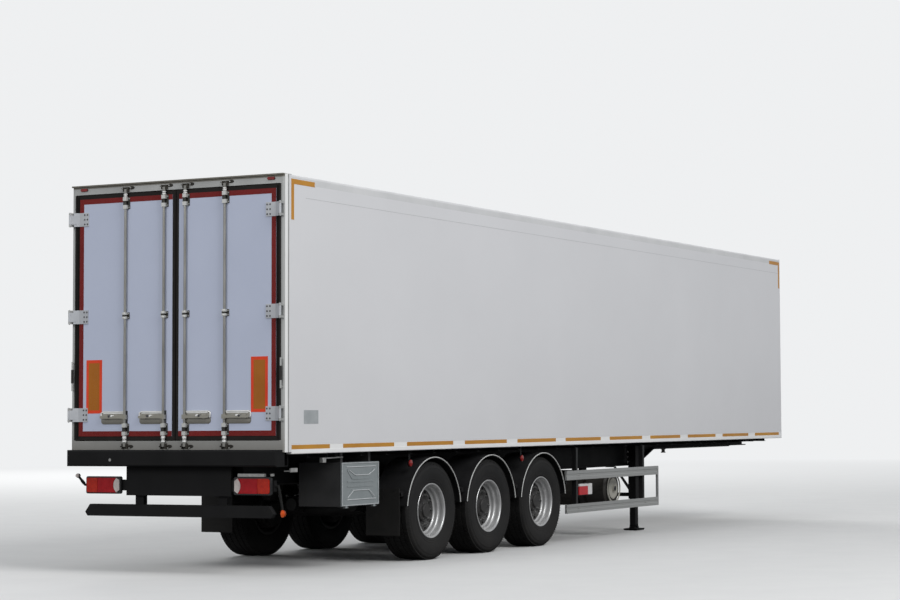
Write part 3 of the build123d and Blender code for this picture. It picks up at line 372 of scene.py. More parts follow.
covers, edges, seams, joints = Blank(), Blank(), Blank(), Blank()
for side in (-1, 1):
    face = side * half_width
    covers.slab((cover_start, face, portal_low.z), (wall_low.x, face + side * skin, edge_top))
    edges.slab((edge_start, face, portal_low.z), (edge_end, face + side * skin, edge_top))
    joints.slab((edge_end, face, portal_low.z), (cover_start, face + side * skin * 0.6, edge_top))
    seams.slab((seam_start, face, seam_level), (wall_high.x, face + side * skin, seam_level + 0.004))
fit("post_covers", covers.mesh("post_covers", white_skin), "chassis", "white_panel")
# The near-white strips on the portal's side faces are a painted highlight on its stainless steel.
portal_side_highlight = finish("portal_side_highlight", (0.84, 0.84, 0.83), (0.90, 0.90, 0.89), (0.2, 0.32), marks=0.5)
fit("portal_side_highlights", edges.mesh("portal_side_highlights", portal_side_highlight), "chassis", "white_panel")
seam_profile = finish("seam_profile", (0.46, 0.46, 0.47), (0.54, 0.54, 0.55), (0.4, 0.5), marks=0.3)
fit("wall_seams", seams.mesh("wall_seams", seam_profile), "chassis", "pale_aluminium")
sealant = finish("grey_sealant", (0.22, 0.22, 0.215), (0.30, 0.30, 0.29), (0.5, 0.65), marks=0.2)
fit("portal_joints", joints.mesh("portal_joints", sealant), "chassis", "pale_aluminium")

# Marker tape. Retro-reflecting sheet in amber: dashes along the channel of the edge
# profile and a corner piece near each upper end of the walls. Under its clear face lies
# a fine honeycomb.


def honeycomb(root, at, colour, roughness):
    """Cells of a retro-reflecting sheet, a few millimetres across."""
    values = {"Vector": at, "Scale": 260.0}
    edge = root.node("ShaderNodeTexVoronoi", {"feature": "DISTANCE_TO_EDGE"}, values)
    line = (edge < 0.07) * 0.07
    return line.blend(colour, (0.55, 0.48, 0.40, 1)), roughness


amber_tape = finish("amber_tape", (0.47, 0.195, 0.012), (0.57, 0.265, 0.022), (0.26, 0.38),
                    marks=0.5, dust=0.2, dust_top=2.2, coat=0.05, gloss=0.3, paint=honeycomb)
dash_count, dash_length, dash_pitch, first_dash_end = 11, 1.0, 1.266, 0.82
dash_bottom, dash_top = 1.252, 1.294
channel_face = half_width - 0.002
corner_top, corner_reach, corner_drop, corner_width = 3.917, 0.42, 0.405, 0.050

tapes = Blank()
for side in (-1, 1):
    inner, outer = side * channel_face, side * (channel_face + 0.0008)
    for k in range(dash_count):
        start = rear + 0.135 if k == 0 else rear + 1.068 + (k - 1) * dash_pitch
        end = rear + first_dash_end if k == 0 else start + dash_length
        end = min(end, wall_high.x - 0.03)
        tapes.slab((start, inner, dash_bottom), (end, outer, dash_top))
    inner, outer = side * half_width, side * (half_width + 0.0016)
    x = rear + 0.120
    tapes.slab((x, inner, corner_top - corner_width), (x + corner_reach, outer, corner_top))
    tapes.slab((x, inner, corner_top - corner_drop), (x + corner_width, outer, corner_top - corner_width))
    x = wall_high.x + 0.01
    tapes.slab((x, inner, corner_top - corner_width), (x - corner_reach, outer, corner_top))
    tapes.slab((x, inner, corner_top - corner_drop), (x - corner_width, outer, corner_top - corner_width))
fit("marker_tapes", tapes.mesh("marker_tapes", amber_tape), "chassis", "white_panel")

grey_plate = finish("grey_plate", (0.30, 0.32, 0.33), (0.40, 0.42, 0.43), (0.35, 0.5), marks=0.12,
                    bump=0.0002, grain=0.004)
plate = Blank().slab((rear + 0.347, -half_width, 1.50), (rear + 0.606, -half_width - 0.0016, 1.636))
fit("side_plate", plate.mesh("side_plate", grey_plate, bevel=0.0005), "chassis", "pale_aluminium")

# Load space. The floor is ribbed aluminium plate over insulation, so that air passes
# under the load. Scuff plates of aluminium line the foot of both walls.

floor_plate = finish("ribbed_aluminium", (0.40, 0.41, 0.42), (0.55, 0.56, 0.57), (0.36, 0.52),
                     marks=0.2, stretch=(0.1, 1, 1), metallic=0.3, bump=0.0004, grain=0.006)
dress(floor_plate, "load_floor")
tread_low, tread_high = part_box("load_floor")
rib_count, rib_width, rib_height = 40, 0.012, 0.0035


def grow(name, base, tree, values):
    """Runs a tree of Geometry Nodes on a mesh and gives the plain result."""
    carrier = bpy.data.objects.new(name, base)
    bpy.context.scene.collection.objects.link(carrier)
    modifier = carrier.modifiers.new("Repeat", "NODES")
    modifier.node_group = tree
    for item in tree.interface.items_tree:
        if item.item_type == "SOCKET" and item.name in values:
            modifier[item.identifier] = values[item.name]
    settled = bpy.context.evaluated_depsgraph_get()
    made = bpy.data.meshes.new_from_object(carrier.evaluated_get(settled))
    made.name = name
    bpy.data.objects.remove(carrier)
    return made


def tree_with(name, sizes):
    """An empty tree of Geometry Nodes with those named inputs, and its input node."""
    tree = bpy.data.node_groups.new(name, "GeometryNodeTree")
    tree.interface.new_socket("Geometry", in_out="INPUT", socket_type="NodeSocketGeometry")
    tree.interface.new_socket("Geometry", in_out="OUTPUT", socket_type="NodeSocketGeometry")
    for key, kind in sizes.items():
        tree.interface.new_socket(key, in_out="INPUT", socket_type="NodeSocket" + kind)
    entry = tree.nodes.new("NodeGroupInput")
    return tree, {s.name: Wire(tree, s) for s in entry.outputs if s.name}


def close(tree, instances, material):
    """Ends a tree: real geometry with its finish."""
    root = Wire(tree)
    real = root.node("GeometryNodeRealizeInstances", {}, {0: instances})
    painted = root.node("GeometryNodeSetMaterial", {}, {"Geometry": real, "Material": material})
    end = tree.nodes.new("NodeGroupOutput")
    tree.links.new(painted.socket, end.inputs[0])


row_tree, size = tree_with("row_of_bars", {
    "Count": "Int", "Start": "Vector", "Step": "Vector", "Size": "Vector", "Finish": "Material",
})
root = Wire(row_tree)
line = root.node("GeometryNodeMeshLine", {"mode": "OFFSET"}, {
    "Count": size["Count"], "Start Location": size["Start"], "Offset": size["Step"],
})
one = root.node("GeometryNodeMeshCube", {}, {"Size": size["Size"]})
row = root.node("GeometryNodeInstanceOnPoints", {}, {"Points": line, "Instance": one})
close(row_tree, row, size["Finish"])


def bars(name, count, start, step, bar_size, material):
    """A row of equal bars: the middle of the first, the step to the next and their size."""
    values = {"Count": count, "Start": start, "Step": step, "Size": bar_size, "Finish": material}
    return grow(name, bpy.data.meshes.new(name), row_tree, values)


floor_middle = (tread_low.x + tread_high.x) / 2
rib_pitch = (tread_high.y - tread_low.y) / rib_count
ribs = bars("floor_ribs", rib_count,
            (floor_middle, tread_low.y + rib_pitch / 2, tread_high.z + rib_height / 2),
            (0, rib_pitch, 0),
            (tread_high.x - tread_low.x - 0.02, rib_width, rib_height), floor_plate)
fit("floor_ribs", ribs, "chassis", "floor_aluminium")

scuffs = Blank()
for side in (-1, 1):
    inner = side * tread_high.y
    scuffs.slab((tread_low.x + 0.02, inner, tread_high.z + 0.005),
                (tread_high.x - 0.02, inner - side * 0.002, tread_high.z + 0.285))
scuff_plate = finish("scuff_plate", (0.5, 0.51, 0.52), (0.62, 0.63, 0.64), (0.3, 0.45), marks=0.3,
                     stretch=(0.2, 1, 1), metallic=0.4)
fit("scuff_plates", scuffs.mesh("scuff_plates", scuff_plate), "chassis", "floor_aluminium")

# Rear portal. Posts, header and sill of brushed stainless steel, welded into one frame,
# with cam keepers and hinge lugs of the same steel. Dust settles on its lower part.



def portal_tones(root, at, colour, roughness):
    """The keepers and the gutter are darker than the posts, the sill is dull with dirt, and
    the seal's outer lip covers the posts' inner edge."""
    x, y, z = at.parts()
    proud = (x < rear - 0.001) * 1.0
    keepers = proud * ((z < 1.335) + ((z - 3.895).size() < 0.029)).clamped()
    gutter = (x < rear + 0.01) * (z > 3.926)
    sill = (1 - (z - 1.20) / 0.35).clamped() * 0.75
    lip = (y.size() < 1.267) * (y.size() > 1.24) * (z > 1.345) * (z < 3.862) * (1 - proud)
    toned = sill.blend(colour, (0.185, 0.172, 0.148, 1))
    toned = keepers.blend(toned, (0.045, 0.040, 0.032, 1))
    toned = lip.blend(toned, (0.012, 0.010, 0.009, 1))
    return gutter.blend(toned, (0.170, 0.158, 0.132, 1)), roughness + sill * 0.1


brushed_steel = finish("brushed_stainless", (0.365, 0.37, 0.36), (0.46, 0.465, 0.455), (0.34, 0.48),
                       marks=0.5, stretch=(1, 1, 0.12), metallic=0.3, bump=0.00015, grain=0.004,
                       dust=0.25, dust_top=2.4, paint=portal_tones)
dress(brushed_steel, "rear_frame", "grab_bars")

round_tree, size = tree_with("ring_of_parts", {
    "Count": "Int", "Centre": "Vector", "Finish": "Material",
})
root = Wire(round_tree)
spot = root.node("GeometryNodeMeshLine", {"mode": "OFFSET"}, {
    "Count": size["Count"], "Start Location": size["Centre"], "Offset": (0, 0, 0),
})
number = root.node("GeometryNodeInputIndex")
angle = number * (2 * math.pi) / size["Count"]
spin = root.node("FunctionNodeAxisAngleToRotation", {}, {"Axis": (0, 1, 0), "Angle": angle})
ring = root.node("GeometryNodeInstanceOnPoints", {}, {
    "Points": spot, "Instance": size["Geometry"], "Rotation": spin,
})
close(round_tree, ring, size["Finish"])

bolt_tree, size = tree_with("bolt_heads", {
    "Sides": "Int", "Radius": "Float", "Height": "Float", "Turn": "Vector", "Finish": "Material",
})
root = Wire(bolt_tree)
head = root.node("GeometryNodeMeshCylinder", {}, {
    "Vertices": size["Sides"], "Radius": size["Radius"], "Depth": size["Height"],
})
half_height = size["Height"] * 0.5
up_by = root.node("ShaderNodeCombineXYZ", {}, {"Z": half_height})
head = root.node("GeometryNodeTransform", {}, {"Geometry": head, "Translation": up_by})
washer = root.node("GeometryNodeMeshCylinder", {}, {
    "Vertices": 16, "Radius": size["Radius"] * 1.45, "Depth": size["Height"] * 0.3,
})
bolt = root.node("GeometryNodeJoinGeometry")
join = bolt.socket.node
bolt_tree.links.new(head.socket, join.inputs[0])
bolt_tree.links.new(washer.socket, join.inputs[0])
facing = root.node("FunctionNodeEulerToRotation", {}, {0: size["Turn"]})
row = root.node("GeometryNodeInstanceOnPoints", {}, {
    "Points": size["Geometry"], "Instance": bolt, "Rotation": facing,
})
close(bolt_tree, row, size["Finish"])

to_rear = (0.0, -math.pi / 2, 0.0)
to_front = (0.0, math.pi / 2, 0.0)
downwards = (math.pi, 0.0, 0.0)
to_right = (math.pi / 2, 0.0, 0.0)
to_left = (-math.pi / 2, 0.0, 0.0)


def bolts(name, places, turn, radius, height, material, sides=6):
    """Bolt or rivet heads with their washers at those places, turned one way."""
    spots = bpy.data.meshes.new(name)
    spots.from_pydata([tuple(p) for p in places], [], [])
    values = {"Sides": sides, "Radius": radius, "Height": height, "Turn": turn, "Finish": material}
    return grow(name, spots, bolt_tree, values)


zinc = finish("zinc_plate", (0.40, 0.40, 0.39), (0.58, 0.58, 0.56), (0.25, 0.4), marks=0.03,
              metallic=0.6, dust=0.25, dust_top=2.0)
rod_places = (0.13, 0.61)
black_steel_and_shade = finish("black_steel_and_shade", (0.012, 0.010, 0.008), (0.030, 0.026, 0.020), (0.4, 0.6),
                      marks=0.03, gloss=0.3)
keeper_bolts = []
# The black lobes and bars on each keeper are painted shadow: the shade and gap under the cam's hook, not a part of
# their own.
cam_shadows = Blank()
for y in (-0.61, -0.13, 0.13, 0.61):
    for level in (1.284, 3.9095):
        for reach, half_length in ((-0.062, 0.034), (0.048, 0.020)):
            oval = [(y + reach + half_length * math.cos(math.pi * k / 10),
                     level + 0.5 * half_length * math.sin(math.pi * k / 10)) for k in range(20)]
            cam_shadows.prism(oval, rear - 0.0024, rear, "X")
        cam_shadows.slab((rear - 0.0018, y - 0.05, level - 0.009), (rear, y + 0.05, level + 0.009))
    for reach in (-0.048, 0.048):
        keeper_bolts.append((rear - 0.006, y + reach, 1.2675))
        keeper_bolts.append((rear - 0.006, y + reach, 3.9095))
fit("keeper_cam_shadows", cam_shadows.mesh("keeper_cam_shadows", black_steel_and_shade), "chassis", "stainless")
fit("keeper_bolts", bolts("keeper_bolts", keeper_bolts, to_rear, 0.0055, 0.006, zinc),
    "chassis", "galvanised")
grip_rubber = finish("grip_rubber", (0.014, 0.013, 0.013), (0.026, 0.025, 0.024), (0.55, 0.7),
                     marks=0.05, bump=0.0004, grain=0.004, gloss=0.3)
grips = Blank()
for side in (-1, 1):
    grips.turned([(0.0095, 1.93), (0.0135, 1.934), (0.0135, 2.066), (0.0095, 2.07)],
                 (rear - 0.022, side * 1.275, 0), 24, "Z")
fit("grab_bar_grips", grips.mesh("grab_bar_grips", grip_rubber), "chassis", "seal_rubber")

# Rear doors. Insulated leaves with a cool white skin in a black rubber seal. Dark red
# contour tape runs just inside the seal, and each leaf carries an upright marking plate
# with an orange-red border.

door_skin = finish("door_skin", (0.49, 0.535, 0.665), (0.535, 0.58, 0.715), (0.24, 0.34), marks=1.3,
                   bump=0.0003, grain=0.08, gloss=0.35)
seal_rubber = finish("seal_rubber", (0.010, 0.008, 0.007), (0.019, 0.016, 0.014), (0.5, 0.7),
                     marks=0.2, bump=0.0003, grain=0.006, dust=0.1, dust_top=2.2, gloss=0.15)
red_tape = finish("dark_red_tape", (0.145, 0.006, 0.007), (0.195, 0.010, 0.011), (0.4, 0.55),
                  marks=0.4, gloss=0.1, paint=honeycomb)
dress(door_skin, "door_panel_right", "door_panel_left")
dress(seal_rubber, "door_seal_right", "door_seal_left")
tape_band = 0.052
plate_inner, plate_outer, plate_bottom, plate_top = 0.912, 1.112, 1.620, 2.165
plate_border = 0.032
border_red = finish("plate_border", (0.68, 0.040, 0.009), (0.80, 0.060, 0.013), (0.3, 0.42),
                    marks=0.3, coat=0.05, gloss=0.2, paint=honeycomb)
plate_amber = finish("plate_amber", (0.35, 0.105, 0.004), (0.42, 0.135, 0.006), (0.3, 0.42),
                     marks=0.3, coat=0.05, gloss=0.2, paint=honeycomb)
hinge_levels = (1.605, 2.6075, 3.610)
hinge_half = 0.07

for side, name in ((-1, "right"), (1, "left")):
    panel_low, panel_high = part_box("door_panel_" + name)
    near, far = sorted((abs(panel_low.y), abs(panel_high.y)))
    low, high = panel_low.z, panel_high.z
    band = Blank()
    back, front = rear - 0.0012, rear + 0.001
    band.slab((back, side * near, high - tape_band), (front, side * far, high))
    band.slab((back, side * near, low), (front, side * far, low + tape_band))
    stops = [low + tape_band]
    for level in hinge_levels:
        stops += [level - hinge_half, level + hinge_half]
    stops.append(high - tape_band)
    for start, end in zip(stops[::2], stops[1::2]):
        band.slab((back, side * (far - tape_band), start), (front, side * far, end))
    fit("contour_tape_" + name, band.mesh("contour_tape_" + name, red_tape), "door_" + name,
        "white_panel")
    border = Blank().slab((rear - 0.0014, side * plate_inner, plate_bottom),
                          (rear + 0.001, side * plate_outer, plate_top))
    fit("marking_border_" + name, border.mesh("marking_border_" + name, border_red, bevel=0.0004),
        "door_" + name, "lamp_red")
    centre = Blank().slab(
        (rear - 0.002, side * (plate_inner + plate_border), plate_bottom + plate_border),
        (rear, side * (plate_outer - plate_border), plate_top - plate_border),
    )
    fit("marking_centre_" + name, centre.mesh("marking_centre_" + name, plate_amber, bevel=0.0004),
        "door_" + name, "white_panel")

# Hinges and lock gear. Cranked hinge straps of stainless plate, and zinc-plated lock
# rods in bearing blocks, with cast cams that seat in the keepers and flat handles that
# lie in pressed pans.


def gear_tones(root, at, colour, roughness):
    """Cast blocks are brighter than the drawn rods, with painted shade between them, and their
    feet are painted dark as shade."""
    x, y, z = at.parts()
    low, top, middle = (z - 1.455).size(), (z - 3.755).size(), (z - 2.6075).size()
    ends = ((low < 0.062) + (top < 0.062) + (middle < 0.034)).clamped() * (x < rear - 0.0065)
    between = ((low < 0.021) + (top < 0.021) + (middle < 0.009)).clamped()
    handles = ((z - 1.580).size() < 0.026) * (x < rear - 0.024)
    # Painted shade in the crevice where the feet meet the door face.
    foot = (x > rear - 0.0065) * 1.0
    toned = handles.blend(ends.blend(colour, (0.72, 0.72, 0.69, 1)), (0.37, 0.355, 0.305, 1))
    toned = between.blend(toned, (0.045, 0.043, 0.036, 1))
    return foot.blend(toned, (0.05, 0.05, 0.045, 1)), roughness - ends * 0.08


def pan_tones(root, at, colour, roughness):
    """The pressed pan curves under, so that its lower part lies in shade."""
    shade = ((at.parts()[2] - 1.500) / 0.085).clamped()
    return shade.blend((0.110, 0.103, 0.084, 1), colour), roughness


hinge_steel = finish("hinge_stainless", (0.46, 0.475, 0.50), (0.55, 0.565, 0.59), (0.30, 0.44),
                     marks=0.25, metallic=0.25, bump=0.00015, grain=0.003)
lock_steel = finish("lock_gear_zinc", (0.23, 0.225, 0.205), (0.34, 0.335, 0.31), (0.26, 0.42),
                    marks=0.06, stretch=(1, 1, 0.25), metallic=0.55, bump=0.0001, grain=0.003,
                    paint=gear_tones)
chrome_and_highlight = finish("chrome_and_highlight", (0.78, 0.78, 0.77), (0.90, 0.90, 0.88), (0.14, 0.26),
                     marks=0.02, metallic=0.1)
pan_steel = finish("pan_steel", (0.33, 0.315, 0.275), (0.42, 0.405, 0.36), (0.3, 0.45), marks=0.03,
                   metallic=0.2, paint=pan_tones)
dark_fixing_and_shade = finish("dark_fixing_and_shade", (0.05, 0.05, 0.055), (0.10, 0.10, 0.105), (0.35, 0.5), marks=0.02,
                     metallic=0.5)
dress(hinge_steel, "door_hinges_right", "door_hinges_left")
dress(lock_steel, "lock_gear_right", "lock_gear_left")


def rounded(width, height, corner, steps=6):
    """Points round a rectangle with round corners, about its middle."""
    points = []
    for k, (sx, sy) in enumerate(((1, 1), (-1, 1), (-1, -1), (1, -1))):
        for j in range(steps + 1):
            angle = math.pi / 2 * (k + j / steps)
            points.append((sx * (width / 2 - corner) + corner * math.cos(angle),
                           sy * (height / 2 - corner) + corner * math.sin(angle)))
    return points


rod_depth, rod_radius = 0.022, 0.0136
pan_start, pan_end, pan_low, pan_high = 0.006, 0.306, 1.510, 1.640
pan_face = rear - 0.0065
knob_reach = 0.185
guide_bolts = ((1.455, 0.045), (2.6075, 0.020), (3.755, 0.045))
collar_runs = ((1.326, 1.346), (1.350, 1.356), (1.362, 1.388), (2.578, 2.590), (2.625, 2.637),
               (3.820, 3.832), (3.838, 3.850))
for side, name in ((-1, "right"), (1, "left")):
    pans, rim_highlights, collars, knobs_and_shadow_strips = Blank(), Blank(), Blank(), Blank()
    fixings = []
    for rod in rod_places:
        y = side * rod
        near, far = y + side * pan_start, y + side * pan_end
        middle, width, height = (near + far) / 2, pan_end - pan_start, pan_high - pan_low
        level = (pan_low + pan_high) / 2
        outline = [(middle + a, level + b) for a, b in rounded(width, height, 0.03)]
        pans.prism(outline, pan_face, rear, "X")
        # The near-white hem and band along the top of each pan and round its outer end are a painted highlight on the
        # curled edge; the lower edge, in shade, is left out.
        curl = [(far - side * 0.012 + side * 0.010 * math.sin(math.pi * k / 12),
                 pan_high - 0.038 + 0.030 * math.cos(math.pi * k / 12)) for k in range(13)]
        hem = [(near + side * 0.008, pan_high - 0.008), (far - side * 0.030, pan_high - 0.008)] + curl[3:]
        rim_highlights.tube([(pan_face - 0.004, a, b) for a, b in hem], 0.0068)
        rim_highlights.slab((pan_face - 0.006, near + side * 0.010, pan_high - 0.026),
                  (pan_face, far - side * 0.030, pan_high - 0.008))
        rim_highlights.turned([(0.0, pan_face - 0.034), (0.010, pan_face - 0.034), (0.011, pan_face - 0.030),
                     (0.011, pan_face), (0.0, pan_face)],
                    (0, y + side * (knob_reach - 0.030), 1.592), 20, "X")
        knobs_and_shadow_strips.turned([(0.0, pan_face - 0.036), (0.011, pan_face - 0.036), (0.013, pan_face - 0.032),
                      (0.013, pan_face), (0.0, pan_face)], (0, y + side * knob_reach, 1.588), 20, "X")
        # This dark strip beside the rod at the pan's inner end is a painted shadow behind the rod.
        knobs_and_shadow_strips.slab((pan_face + 0.001, near - side * 0.030, pan_low - 0.004),
                   (rear, near + side * 0.004, pan_high + 0.004))
        for level, reach in guide_bolts:
            for a in (-0.034, 0.034):
                fixings.append((rear - 0.006, y + a, level + reach))
                fixings.append((rear - 0.006, y + a, level - reach))
        # The collars are chrome painted near white, so their highlight is painted in.
        for low, high in collar_runs:
            ring = [(rod_radius, low), (0.0205, low + 0.002), (0.0205, high - 0.002), (rod_radius, high)]
            collars.turned(ring, (rear - rod_depth, y, 0), 24, "Z")
    door = "door_" + name
    fit("handle_pans_" + name, pans.mesh("handle_pans_" + name, pan_steel, bevel=0.001), door, "stainless")
    fit("pan_rim_highlights_" + name, rim_highlights.mesh("pan_rim_highlights_" + name, chrome_and_highlight, bevel=0.003), door, "stainless")
    fit("handle_knobs_and_shadow_strips_" + name, knobs_and_shadow_strips.mesh("handle_knobs_and_shadow_strips_" + name, dark_fixing_and_shade), door, "black_plastic")
    fit("rod_collars_" + name, collars.mesh("rod_collars_" + name, chrome_and_highlight), door, "stainless")
    fit("guide_bolts_" + name, bolts("guide_bolts_" + name, fixings, to_rear, 0.0045, 0.005, zinc),
        door, "galvanised")
    places = [(rear - 0.008, side * y, level + rise) for level in hinge_levels
              for rise in (-0.048, 0.0, 0.048) for y in (1.105, 1.140)]
    fit("hinge_bolts_" + name,
        bolts("hinge_bolts_" + name, places, to_rear, 0.0065, 0.004, dark_fixing_and_shade, sides=12),
        door, "stainless")

# Chassis. Stepped I-beams with cross members, rear beam, coupling plate and kingpin,
# welded from steel sheet and painted black. Road dust clings to all of it.



def chassis_tones(root, at, colour, roughness):
    """One bright bolt is let into the face of the buffer, left of its middle."""
    x, y, z = at.parts()
    across, up = y - 0.73, z - 1.150
    head = (across * across + up * up < 0.00024) * (x < rear - 0.095)
    return head.blend(colour, (0.30, 0.30, 0.29, 1)), roughness - head * 0.15


black_paint = finish("black_chassis_paint", (0.0045, 0.0045, 0.0050), (0.0085, 0.0085, 0.009),
                     (0.45, 0.65), marks=0.3, bump=0.0003, grain=0.01, dust=0.06, dust_top=1.35,
                     gloss=0.15, paint=chassis_tones)


def pin_tones(root, at, colour, roughness):
    """The kingpin and the plate's underside round it are bare, greased steel."""
    x, y, z = at.parts()
    bare = (z < plate_low.z + 0.0875) * 1.0
    return bare.blend(colour, (0.16, 0.15, 0.14, 1)), roughness - bare * 0.2


plate_low, plate_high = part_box("coupling_plate")
coupling_steel = finish("coupling_steel", (0.0085, 0.0085, 0.0095), (0.018, 0.018, 0.018),
                        (0.42, 0.62), marks=0.2, bump=0.0003, grain=0.01, gloss=0.3, paint=pin_tones)
dark_casting = finish("dark_casting", (0.014, 0.014, 0.0145), (0.032, 0.031, 0.030), (0.45, 0.7),
                      marks=0.1, bump=0.0008, grain=0.006, dust=0.2, dust_top=1.2, gloss=0.3)
dress(black_paint, "main_rails", "cross_members", "rear_beam", "landing_gear", "lamp_beam",
      "underrun", "mudguard_stays", "tank_cradle", "buffer_beam")
dress(coupling_steel, "coupling_plate")
dress(dark_casting, "axles", "trailing_arms", "suspension_hangers", "shock_absorbers")
axle_height, axle_places = 0.536, (2.95, 4.26, 5.57)
ties, clamps, tie_nuts = Blank(), Blank(), []
for x in axle_places:
    for side in (-1, 1):
        for dx in (-0.083, 0.083):
            inner, outer = side * 0.595, side * 0.705
            ties.tube([(rear + x + dx, inner, 0.690), (rear + x + dx, inner, 0.453),
                       (rear + x + dx, outer, 0.453), (rear + x + dx, outer, 0.690)], 0.009)
            tie_nuts += [(rear + x + dx, y, 0.679) for y in (inner, outer)]
        clamps.slab((rear + x - 0.10, side * 0.585, 0.667), (rear + x + 0.10, side * 0.715, 0.679))
fit("axle_ties", ties.mesh("axle_ties", dark_casting), "chassis", "dark_steel")
fit("tie_clamps", clamps.mesh("tie_clamps", dark_casting, bevel=0.002), "chassis", "dark_steel")
fit("tie_nuts", bolts("tie_nuts", tie_nuts, (0.0, 0.0, 0.0), 0.015, 0.014, zinc), "chassis", "galvanised")
leg_bolts = [(rear + 9.25 + dx, 0.723, z) for dx in (-0.073, 0.073) for z in (0.93, 1.00, 1.07)]
pivot_nuts = [(rear + x + 0.5, 0.722, axle_height + 0.164) for x in axle_places]
for side, name, turn in ((-1, "right", to_right), (1, "left", to_left)):
    for piece, places, size in (("leg_bolts_", leg_bolts, 0.012), ("pivot_nuts_", pivot_nuts, 0.022)):
        places = [(x, side * y, z) for x, y, z in places]
        fit(piece + name, bolts(piece + name, places, turn, size, size * 0.8, zinc), "chassis",
            "galvanised")
hoses = Blank()
for side in (-1, 1):
    for k in range(3):
        y = side * (0.535 + 0.018 * k)
        hoses.tube([(rear + 0.72, y, 1.05), (rear + 6.4, y, 1.05), (rear + 7.2, y, 1.09), (rear + 13.2, y, 1.09)],
                   0.0065, sides=8)
hose_plastic = finish("hose_plastic", (0.009, 0.009, 0.009), (0.02, 0.02, 0.02), (0.4, 0.55), marks=0.1,
                      gloss=0.3)
fit("air_hoses", hoses.mesh("air_hoses", hose_plastic), "chassis", "black_plastic")

# Air springs. Rolling rubber bellows over a piston, between the trailing arm and the rail.

bellows = finish("bellows_rubber", (0.012, 0.012, 0.012), (0.026, 0.025, 0.024), (0.55, 0.75),
                 marks=0.08, bump=0.0008, grain=0.005, dust=0.2, dust_top=1.2, gloss=0.25)
dress(bellows, "air_springs")

# Wheels. Pressed steel rims in silver paint with a deep dish on the outboard side, a
# dark disc with ten hand holes and ten nuts, and a cast hub.



def rim_tones(root, at, colour, roughness):
    """The rim inboard of its disc is painted nearly black as shade inside the deep dish."""
    # Painted shade inside the dish.
    inboard = (at.parts()[1].size() < 1.108) * 0.93
    return inboard.blend(colour, (0.018, 0.017, 0.016, 1)), roughness + inboard * 0.25


silver_paint = finish("silver_wheel_paint", (0.50, 0.50, 0.50), (0.62, 0.62, 0.615), (0.24, 0.36),
                      marks=0.12, metallic=0.5, bump=0.0002, grain=0.003, dust=0.25, dust_top=0.9,
                      paint=rim_tones)
dark_disc = finish("dark_wheel_disc", (0.016, 0.016, 0.017), (0.045, 0.044, 0.043), (0.4, 0.62),
                   marks=0.05, bump=0.0004, grain=0.004, dust=0.25, dust_top=1.0, gloss=0.3)
wheel_nut = finish("wheel_nut", (0.06, 0.06, 0.06), (0.17, 0.17, 0.165), (0.35, 0.5), marks=0.02,
                   metallic=0.5)
rim_outline = [
    (0.300, 0.1725), (0.2975, 0.1750), (0.2900, 0.1750), (0.2830, 0.1700), (0.2790, 0.1600),
    (0.2765, 0.1480), (0.2750, 0.1300), (0.2735, 0.1180), (0.2690, 0.1080), (0.2600, 0.1040),
    (0.2575, 0.1000), (0.2550, 0.0940), (0.2530, 0.0800), (0.2510, 0.0660), (0.2450, 0.0580),
    (0.2390, 0.0550), (0.2330, 0.0530), (0.2330, 0.0410), (0.2440, 0.0410),
    (0.2560, 0.0300), (0.2640, -0.1550), (0.2720, -0.1700), (0.2900, -0.1750),
    (0.2980, -0.1730), (0.2980, -0.1610), (0.2835, -0.1600), (0.2835, 0.1600), (0.2995, 0.1610),
]
wheel_steps = 96
rim = Blank().turned([(r, u - 0.001) for r, u in rim_outline], steps=wheel_steps).mesh("rim", silver_paint)

disc_face, disc_thick, hole_count, hole_ring, hole_radius = 0.052, 0.010, 10, 0.204, 0.017
curve = bpy.data.curves.new("disc", "CURVE")
curve.dimensions = "2D"
curve.fill_mode = "BOTH"
curve.extrude = disc_thick / 2 - 0.0015
curve.bevel_depth = 0.0015
curve.bevel_resolution = 1


def circle(curve, cx, cy, radius, steps):
    """A round outline in a flat curve."""
    spline = curve.splines.new("POLY")
    spline.points.add(steps - 1)
    for k, point in enumerate(spline.points):
        angle = 2 * math.pi * k / steps
        point.co = (cx + radius * math.cos(angle), cy + radius * math.sin(angle), 0, 1)
    spline.use_cyclic_u = True


circle(curve, 0, 0, 0.2375, 80)
circle(curve, 0, 0, 0.100, 48)
for k in range(hole_count):
    angle = 2 * math.pi * k / hole_count
    circle(curve, hole_ring * math.cos(angle), hole_ring * math.sin(angle), hole_radius, 16)
carrier = bpy.data.objects.new("disc", curve)
disc = bpy.data.meshes.new_from_object(carrier)
bpy.data.objects.remove(carrier)
disc.transform(Matrix.Rotation(-math.pi / 2, 4, "X"))
disc.transform(Matrix.Translation((0, disc_face - disc_thick / 2, 0)))
hub = Blank()
hub.bm.from_mesh(disc)
hub_face = disc_face + 0.036
hub.turned([(0.118, disc_face - 0.016), (0.118, hub_face - 0.016), (0.112, hub_face - 0.006),
            (0.086, hub_face), (0.076, hub_face + 0.002), (0.074, hub_face + 0.018),
            (0.068, hub_face + 0.024), (0.0, hub_face + 0.026), (0.0, disc_face - 0.016)], steps=48)
hub.turned([(0.212, 0.030), (0.212, -0.218), (0.204, -0.222), (0.050, -0.222), (0.050, -0.20),
            (0.196, -0.19), (0.196, 0.015), (0.05, 0.020), (0.05, 0.030)], steps=64)
for k in range(5):
    u = -0.075 - 0.03 * k
    hub.turned([(0.2125, u), (0.2165, u - 0.004), (0.2165, u - 0.010), (0.2125, u - 0.014)], steps=64)
hub = hub.mesh("hub", dark_disc, smooth=35)

